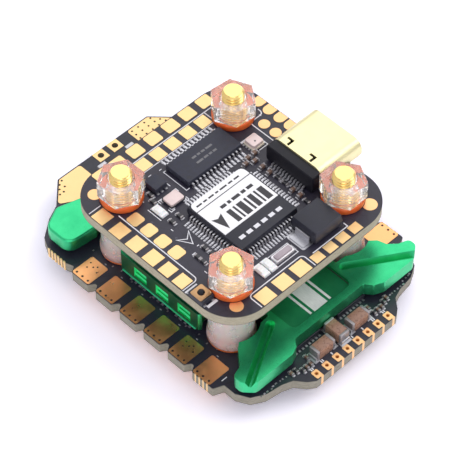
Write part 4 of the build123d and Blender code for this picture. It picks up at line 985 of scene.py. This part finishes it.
for x, y, sx, sy in ((-5.0, 10.1, 0.5, 0.12), (-8.6, 7.6, 0.12, 0.5), (-6.1, 1.2, 0.5, 0.12), (-9.2, 1.5, 0.12, 0.4), (-9.9, -3.2, 0.6, 0.12), (-8.6, -2.6, 0.35, 0.12), (9.6, 1.9, 0.12, 0.5),
                     (6.3, -8.1, 0.5, 0.12), (-10.9, -6.4, 0.12, 0.5), (-6.8, -8.7, 0.4, 0.12), (0.2, -9.4, 0.5, 0.12), (-3.3, 9.9, 0.4, 0.12)):
    b.box(x, y, Z, Z + 0.014, sx, sy, SILK)
o = b.make("upper_print")
# bare via rings
b = Build()
for i in range(30):
    x, y = random.uniform(-11, 11), random.uniform(-12.5, 12.5)
    if abs(x - MCU[0]) < 6.6 and abs(y - MCU[1]) < 6.6 or abs(x - OSD[0]) < 5 and abs(y - OSD[1]) < 3.8 or any(math.hypot(x - p, y - q) < 3.3 for p, q in PTS):
        continue
    if x > 6 and -8 < y < 2.5 or 0 < x < 7.6 and y < -8 or y > 10.8 or x < -10.2:
        continue
    b.ring(x, y, Z, 0.09, 0.16, VIAR, 0.012, 14)
o = b.make("upper_vias")

# ------------------------------------------------------------------ lower board details
# dark discs on the motor and power pads stand in for the via holes: painted shade
b = Build()
for s in (-1, 1):
    for j, y in enumerate(MOTOR_Y):
        xo = ECX + s * 17.0
        for t in (-1.05, 0.0, 1.05):
            b.disc(xo, y + t, ESC_T + 0.05, 0.17, VIA_HOLE_SHADE, 0.006, 12)
        if j in (0, 4):
            for t, q in ((-0.9, 15.3), (0.1, 15.0), (0.7, 15.55), (-0.3, 14.6), (0.9, 14.7)):
                b.disc(ECX + s * q, y + t, ESC_T + 0.05, 0.13, VIA_HOLE_SHADE, 0.006, 12)
pw = [(-10.0, 22.7), (-9.45, 23.4), (-8.9, 24.0), (-8.2, 24.35), (-9.3, 22.7), (-8.6, 23.3)]
for x, y in pw:
    b.disc(x, y, ESC_T + 0.05, 0.16, VIA_HOLE_SHADE, 0.006, 12)
for i in range(4):
    for k in range(3):
        x, y = 4.6 + i * 1.15, 24.25 - k * 0.85
        b.disc(x, y, ESC_T + 0.05, 0.15, VIA_HOLE_SHADE, 0.006, 12)
for x, y in ((8.9, 23.2), (9.3, 22.5), (9.7, 21.9)):
    b.disc(x, y, ESC_T + 0.05, 0.15, VIA_HOLE_SHADE, 0.006, 12)
o = b.make("lower_vias")

b = Build()
for x in SIG_X:
    for z0, z1 in ((ESC_T, ESC_T + 0.05), (ESC_B - 0.05, ESC_B)):
        outl = rrect(1.0, 1.25, 0.06, 2)
        n = 32
        out = []
        for i in range(n):
            a = 2 * math.pi * i / n
            c, s_ = math.cos(a), math.sin(a)
            k = min(0.5 / max(abs(c), 1e-6), 0.62 / max(abs(s_), 1e-6))
            out.append((x + k * c, SIG_Y - 0.08 + k * s_))
        inn = [(x + 0.28 * math.cos(2 * math.pi * i / n), SIG_Y + 0.28 * math.sin(2 * math.pi * i / n)) for i in range(n)]
        b.loft([[(p, q, z0) for p, q in inn], [(p, q, z0) for p, q in out], [(p, q, z1) for p, q in out], [(p, q, z1) for p, q in inn]], GOLD2, close=True)
    # plated barrel
    b.lathe([(0.28, ESC_B - 0.045), (0.28, ESC_T + 0.045), (0.2, ESC_T + 0.02), (0.2, ESC_B - 0.02)], x, SIG_Y, HOLE, 24)
    # plated strip down the edge of the board
    b.box(x + 0.28, -22.739, ESC_B - 0.046, ESC_T + 0.046, 0.44, 0.13, GOLD2, rim=0.03)
o = b.make("signal_pads", smooth=30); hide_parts("esc_signal_pads")

b = Build()
for i in range(6):     # plated half holes on the left shoulder
    y = 13.75 + i * 0.6
    for s in (-1, 1):
        b.box(ECX + s * 17.02, y, ESC_B - 0.03, ESC_T + 0.03, 0.16, 0.36, GOLD, rim=0.07)
for s in (-1, 1):
    for t in (-1.2, -0.5, 0.2, 0.9):
        b.box(ECX + s * 17.434, MOTOR_Y[-1] + t, ESC_B - 0.02, ESC_T + 0.03, 0.14, 0.34, GOLD, rim=0.06)
o = b.make("edge_plating", smooth=30)

# capacitors between the heat sink and the signal pads
b = Build()
for x, y, r in ((-3.75, -20.0, 0), (2.65, -20.0, 0)):
    chip_part(b, x, y, ESC_T, 3.2, 1.6, 1.65, CER, r, 0.42, rim=0.12)
chip_part(b, -0.6, -19.45, ESC_T, 3.1, 1.6, 1.65, CER, 90, 0.4, rim=0.12)
o = b.make("front_capacitors", smooth=30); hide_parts("esc_ceramic_capacitors")
b = Build()
for i, (x, y) in enumerate([(-7.7, -20.5), (-7.0, -20.5), (-6.3, -20.5), (-8.4, -19.95), (-5.95, -19.4), (5.3, -19.4), (5.35, -20.5), (6.05, -20.5), (6.75, -20.5), (7.5, -20.1),
                            (-9.1, -19.85), (8.2, -19.9)]):
    chip_part(b, x, y, ESC_T, 0.75, 0.4, 0.4, CER2 if i % 3 else RESI, 90, 0.2)
o = b.make("front_small_parts", smooth=30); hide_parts("esc_small_parts")

# moulded chips of the lower board and of the hidden faces
def qfn(b, cx, cy, z0, z1, s, m=CHIP2, n=6, up=1):
    package(b, cx, cy, min(z0, z1), max(z0, z1), s, s, m, 0.02, 0.5, 0.05, 0.0)
    zt = z0 if up > 0 else z0 - 0.03
    for sg in (-1, 1):
        for i in range(n):
            o_ = (i - (n - 1) / 2) * (s - 0.8) / (n - 1)
            b.box(cx + sg * (s / 2 + 0.1), cy + o_, zt, zt + 0.03, 0.34, (s - 0.8) / (n - 1) * 0.5, TIN)
            b.box(cx + o_, cy + sg * (s / 2 + 0.1), zt, zt + 0.03, (s - 0.8) / (n - 1) * 0.5, 0.34, TIN)


MOS = [(ECX + s * x, y) for s in (-1, 1) for x in (11.0, 7.4) for y in (-4.2, 0.0, 4.2)]
b = Build()
for x, y in MOS:
    qfn(b, x, y, ESC_T, ESC_T + 0.85, 3.3, CHIP, 4)
o = b.make("upper_transistors", smooth=32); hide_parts("esc_mosfets_top")
b = Build()
for x, y in MOS:
    qfn(b, x, y, 0.0, -0.85, 3.3, CHIP, 4, -1)
    b.disc(x - 1.1, y - 1.1, -0.856, 0.16, MARK, 0.006, 12)
    for k in range(2):
        b.box(x + 0.2, y + 0.3 - 0.6 * k, -0.856, -0.85, 1.5 - 0.4 * k, 0.22, MARK)
o = b.make("lower_transistors", smooth=32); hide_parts("esc_mosfets_bottom")
b = Build()
for s in (-1, 1):
    for y in (-15.45, 15.45):
        qfn(b, ECX + s * 4.05, y, ESC_T, ESC_T + 0.85, 5.0, CHIP2, 8)
o = b.make("motor_processors", smooth=32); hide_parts("esc_processors")
b = Build()
for s in (-1, 1):
    for y in (-12.0, 12.0):
        qfn(b, ECX + s * 3.2, y, 0.0, -0.85, 4.0, CHIP2, 7, -1)
        b.disc(ECX + s * 3.2 - 1.5, y - 1.5, -0.856, 0.18, MARK, 0.006, 12)
o = b.make("gate_driver_cases", smooth=32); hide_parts("esc_gate_drivers")
b = Build()
for x in (-4.6, -1.7, 1.2, 4.1):
    b2 = Build()
    chip_part(b2, x, 17.6, 0.0, 3.2, 1.6, 1.6, CER, 90, 0.5)
    b.v += [(p[0], p[1], -p[2]) for p in b2.v]
    o_ = len(b.v) - len(b2.v)
    b.f += [tuple(i + o_ for i in f) for f in b2.f]
    b.m += [b.mat(b2.mats[k]) for k in b2.m]
o = b.make("bulk_capacitors", smooth=30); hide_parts("esc_bulk_capacitors")
b = Build()
b.box(-0.25, 20.9, ESC_T, ESC_T + 0.8, 3.6, 3.1, INK, bev=0.08)
for s in (-1, 1):
    b.box(-0.25 + s * 2.45, 20.9, ESC_T, ESC_T + 0.7, 1.5, 3.2, TIN, bev=0.08, rim=0.1)
o = b.make("shunt_resistor", smooth=30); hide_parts("esc_current_shunt")

# printing on the lower board: plus and minus at the capacitor pads, plain bars at the signal pads
b = Build()
Z = ESC_T
b.box(-1.37, 22.55, Z, Z + 0.012, 0.7, 0.16, SILK); b.box(-1.37, 22.55, Z, Z + 0.012, 0.16, 0.7, SILK)
b.box(1.2, 22.55, Z, Z + 0.012, 0.7, 0.16, SILK)
for i, x in enumerate(SIG_X):
    for k in range(2 if i in (0, 1, 6, 7) else 1):
        b.box(x - 0.1 + 0.28 * k, -21.15 + 0.03 * k, Z, Z + 0.012, 0.16, 0.42, SILK)
for s in (-1, 1):
    b.box(ECX + s * 15.4, -14.45, Z, Z + 0.012, 0.9, 0.13, SILK)
rl = random.Random(11)
for i in range(18):
    x = -14.2 + i * 0.55 + rl.uniform(-0.1, 0.1)
    if -8.8 < x < -4:
        continue
    if x > -4.5: break
    b.box(x, -19.62 + rl.uniform(-0.12, 0.12), Z, Z + 0.03, rl.uniform(0.16, 0.36), 0.2, (TERM, DIM, TIN)[i % 3])
for i in range(10):
    b.box(8.9 + i * 0.5 + rl.uniform(-0.1, 0.1), -19.9 + (0.07 * i if i > 5 else 0), Z, Z + 0.03, rl.uniform(0.16, 0.34), 0.2, (DIM, TERM, TIN)[i % 3])
for i in range(14):
    b.box(-13.3 + (0.3 if i % 2 else 0), 12.3 - i * 1.75 + rl.uniform(-0.3, 0.3), Z, Z + 0.03, 0.26, 0.2, TERM)
    if i % 2:
        b.box(-13.75, 11.6 - i * 1.75 + rl.uniform(-0.3, 0.3), Z, Z + 0.012, 0.14, 0.3, DIM)
o = b.make("lower_print")
# ------------------------------------------------------------------ underside of the upper board
b = Build()
ZB = FC_B
def under(cx, cy, sx, sy, h, m, bev=0.08, rim=0.0):
    b2 = Build(); b2.box(cx, cy, 0, h, sx, sy, m, bev=bev, rim=rim)
    o_ = len(b.v)
    b.v.extend([(p[0], p[1], ZB - p[2]) for p in b2.v])
    b.f.extend([tuple(i + o_ for i in f) for f in b2.f])
    b.m.extend([b.mat(b2.mats[k]) for k in b2.m])


under(-3.5, 1.0, 6.0, 5.0, 0.8, CHIP2)
o = b.make("memory_case", smooth=30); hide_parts("memory_chip")
b = Build()
for y in (3.4, -2.2):
    under(5.2, y, 4.2, 4.2, 1.9, FERR, 0.3, 0.6)
    for s in (-1, 1):
        under(5.2 + s * 1.75, y, 0.9, 3.2, 0.12, TIN, 0.03)
o = b.make("coil_cases", smooth=30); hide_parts("power_inductors")
b = Build()
for x, y in ((0.9, 6.6), (10.6, 0.0), (-3.0, 6.6)):
    under(x, y, 2.9, 1.65, 1.05, CHIP, 0.1)
    for s in (-1, 1):
        for t in (-0.95, 0, 0.95):
            under(x + t, y + s * 1.05, 0.4, 0.5, 0.14, TIN, 0.03)
o = b.make("regulator_cases", smooth=30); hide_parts("power_regulators")
b = Build()
for x, y in ((9.0, 5.0), (9.0, 3.4), (9.0, -3.4), (9.0, -5.0), (-8.8, 3.0), (-8.8, 0.0)):
    under(x, y, 1.2, 1.17, 0.88, CER, 0.05)
    for s in (-1, 1):
        under(x + s * 0.8, y, 0.4, 1.2, 0.9, TERM, 0.06, 0.08)
o = b.make("filter_capacitors", smooth=30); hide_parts("fc_filter_capacitors")
cad("link_socket", IVORY)

# ------------------------------------------------------------------ floor, light, camera
me = bpy.data.meshes.new("floor")
s = 1.2
zf = HEAD_B * MM - 0.00002
me.from_pydata([(-s, -s, zf), (s, -s, zf), (s, s, zf), (-s, s, zf)], [], [(0, 1, 2, 3)])
floor = bpy.data.objects.new("floor", me)
bpy.context.scene.collection.objects.link(floor)
fm, nt, bs, tc = base_mat("floor_white")
fc = ramp(nt, noise(nt, tc, 60), [(0.3, (0.93, 0.93, 0.96)), (0.7, (0.95, 0.95, 0.98))])
nt.links.new(mixc(nt, 1.0, fc, (1.345, 1.33, 1.395), "MULTIPLY"), bs.inputs["Base Color"])
bs.inputs["Roughness"].default_value = 0.8
bs.inputs["Specular IOR Level"].default_value = 0.1
me.materials.append(fm)
floor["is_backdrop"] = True

w = bpy.data.worlds.new("studio")
bpy.context.scene.world = w
w.use_nodes = True
wn = w.node_tree
wc = wn.nodes.new("ShaderNodeTexCoord"); ws = wn.nodes.new("ShaderNodeSeparateXYZ")
wn.links.new(wc.outputs["Generated"], ws.inputs[0])
wn.nodes["Background"].inputs[0].default_value = (0.96, 0.955, 1.0, 1)
wn.links.new(mrange(wn, ws.outputs[2], 0.0, 1.0, 0.66, 0.92), wn.nodes["Background"].inputs[1])


def area(name, loc, target, size, power, col=(1, 1, 1)):
    l = bpy.data.lights.new(name, "AREA")
    l.shape = "RECTANGLE"; l.size = size[0]; l.size_y = size[1]
    l.energy = power; l.color = col
    o = bpy.data.objects.new(name, l)
    bpy.context.scene.collection.objects.link(o)
    o.location = loc
    o.rotation_euler = (Vector(target) - Vector(loc)).to_track_quat("-Z", "Y").to_euler()
    return o


area("key", (0.34, -0.20, 0.44), (0, 0, 0.005), (0.34, 0.34), 0.75, (1.0, 0.985, 0.96))
area("sheen", (0.24, 0.25, 0.34), (0, 0, 0.005), (0.42, 0.36), 0.45, (1.0, 0.99, 0.98)).visible_diffuse = False
area("fill", (-0.40, -0.30, 0.30), (0, 0, 0.005), (0.42, 0.36), 0.8, (1.0, 0.99, 1.0))

cam = bpy.data.cameras.new("camera")
co = bpy.data.objects.new("camera", cam)
bpy.context.scene.collection.objects.link(co)
AZ, EL, DIST, FPX, TX, TY = -44.604, 50.526, 300.0, 2368.248, 0.607, -7.496
a, e = math.radians(AZ), math.radians(EL)
back = Vector((math.sin(a) * math.cos(e), -math.cos(a) * math.cos(e), math.sin(e)))
right = Vector((math.cos(a), math.sin(a), 0.0))
upv = back.cross(right)
pos = back * DIST + right * TX + upv * TY + Vector((0, 0, NUT_T))
co.matrix_world = Matrix(((right.x, upv.x, back.x, pos.x * MM), (right.y, upv.y, back.y, pos.y * MM), (right.z, upv.z, back.z, pos.z * MM), (0, 0, 0, 1)))
cam.sensor_width = 36.0
cam.sensor_fit = "HORIZONTAL"
cam.lens = FPX / 474.0 * 36.0
cam.clip_start, cam.clip_end = 0.01, 10.0
bpy.context.scene.camera = co
bpy.context.scene.view_settings.view_transform = "Standard"
bpy.context.scene.view_settings.look = "None"

bx = lambda q: [[float(v) for v in p] for p in q]
{"cad_box": bx(CAD_BOX), "visual_box": bx(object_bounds())}
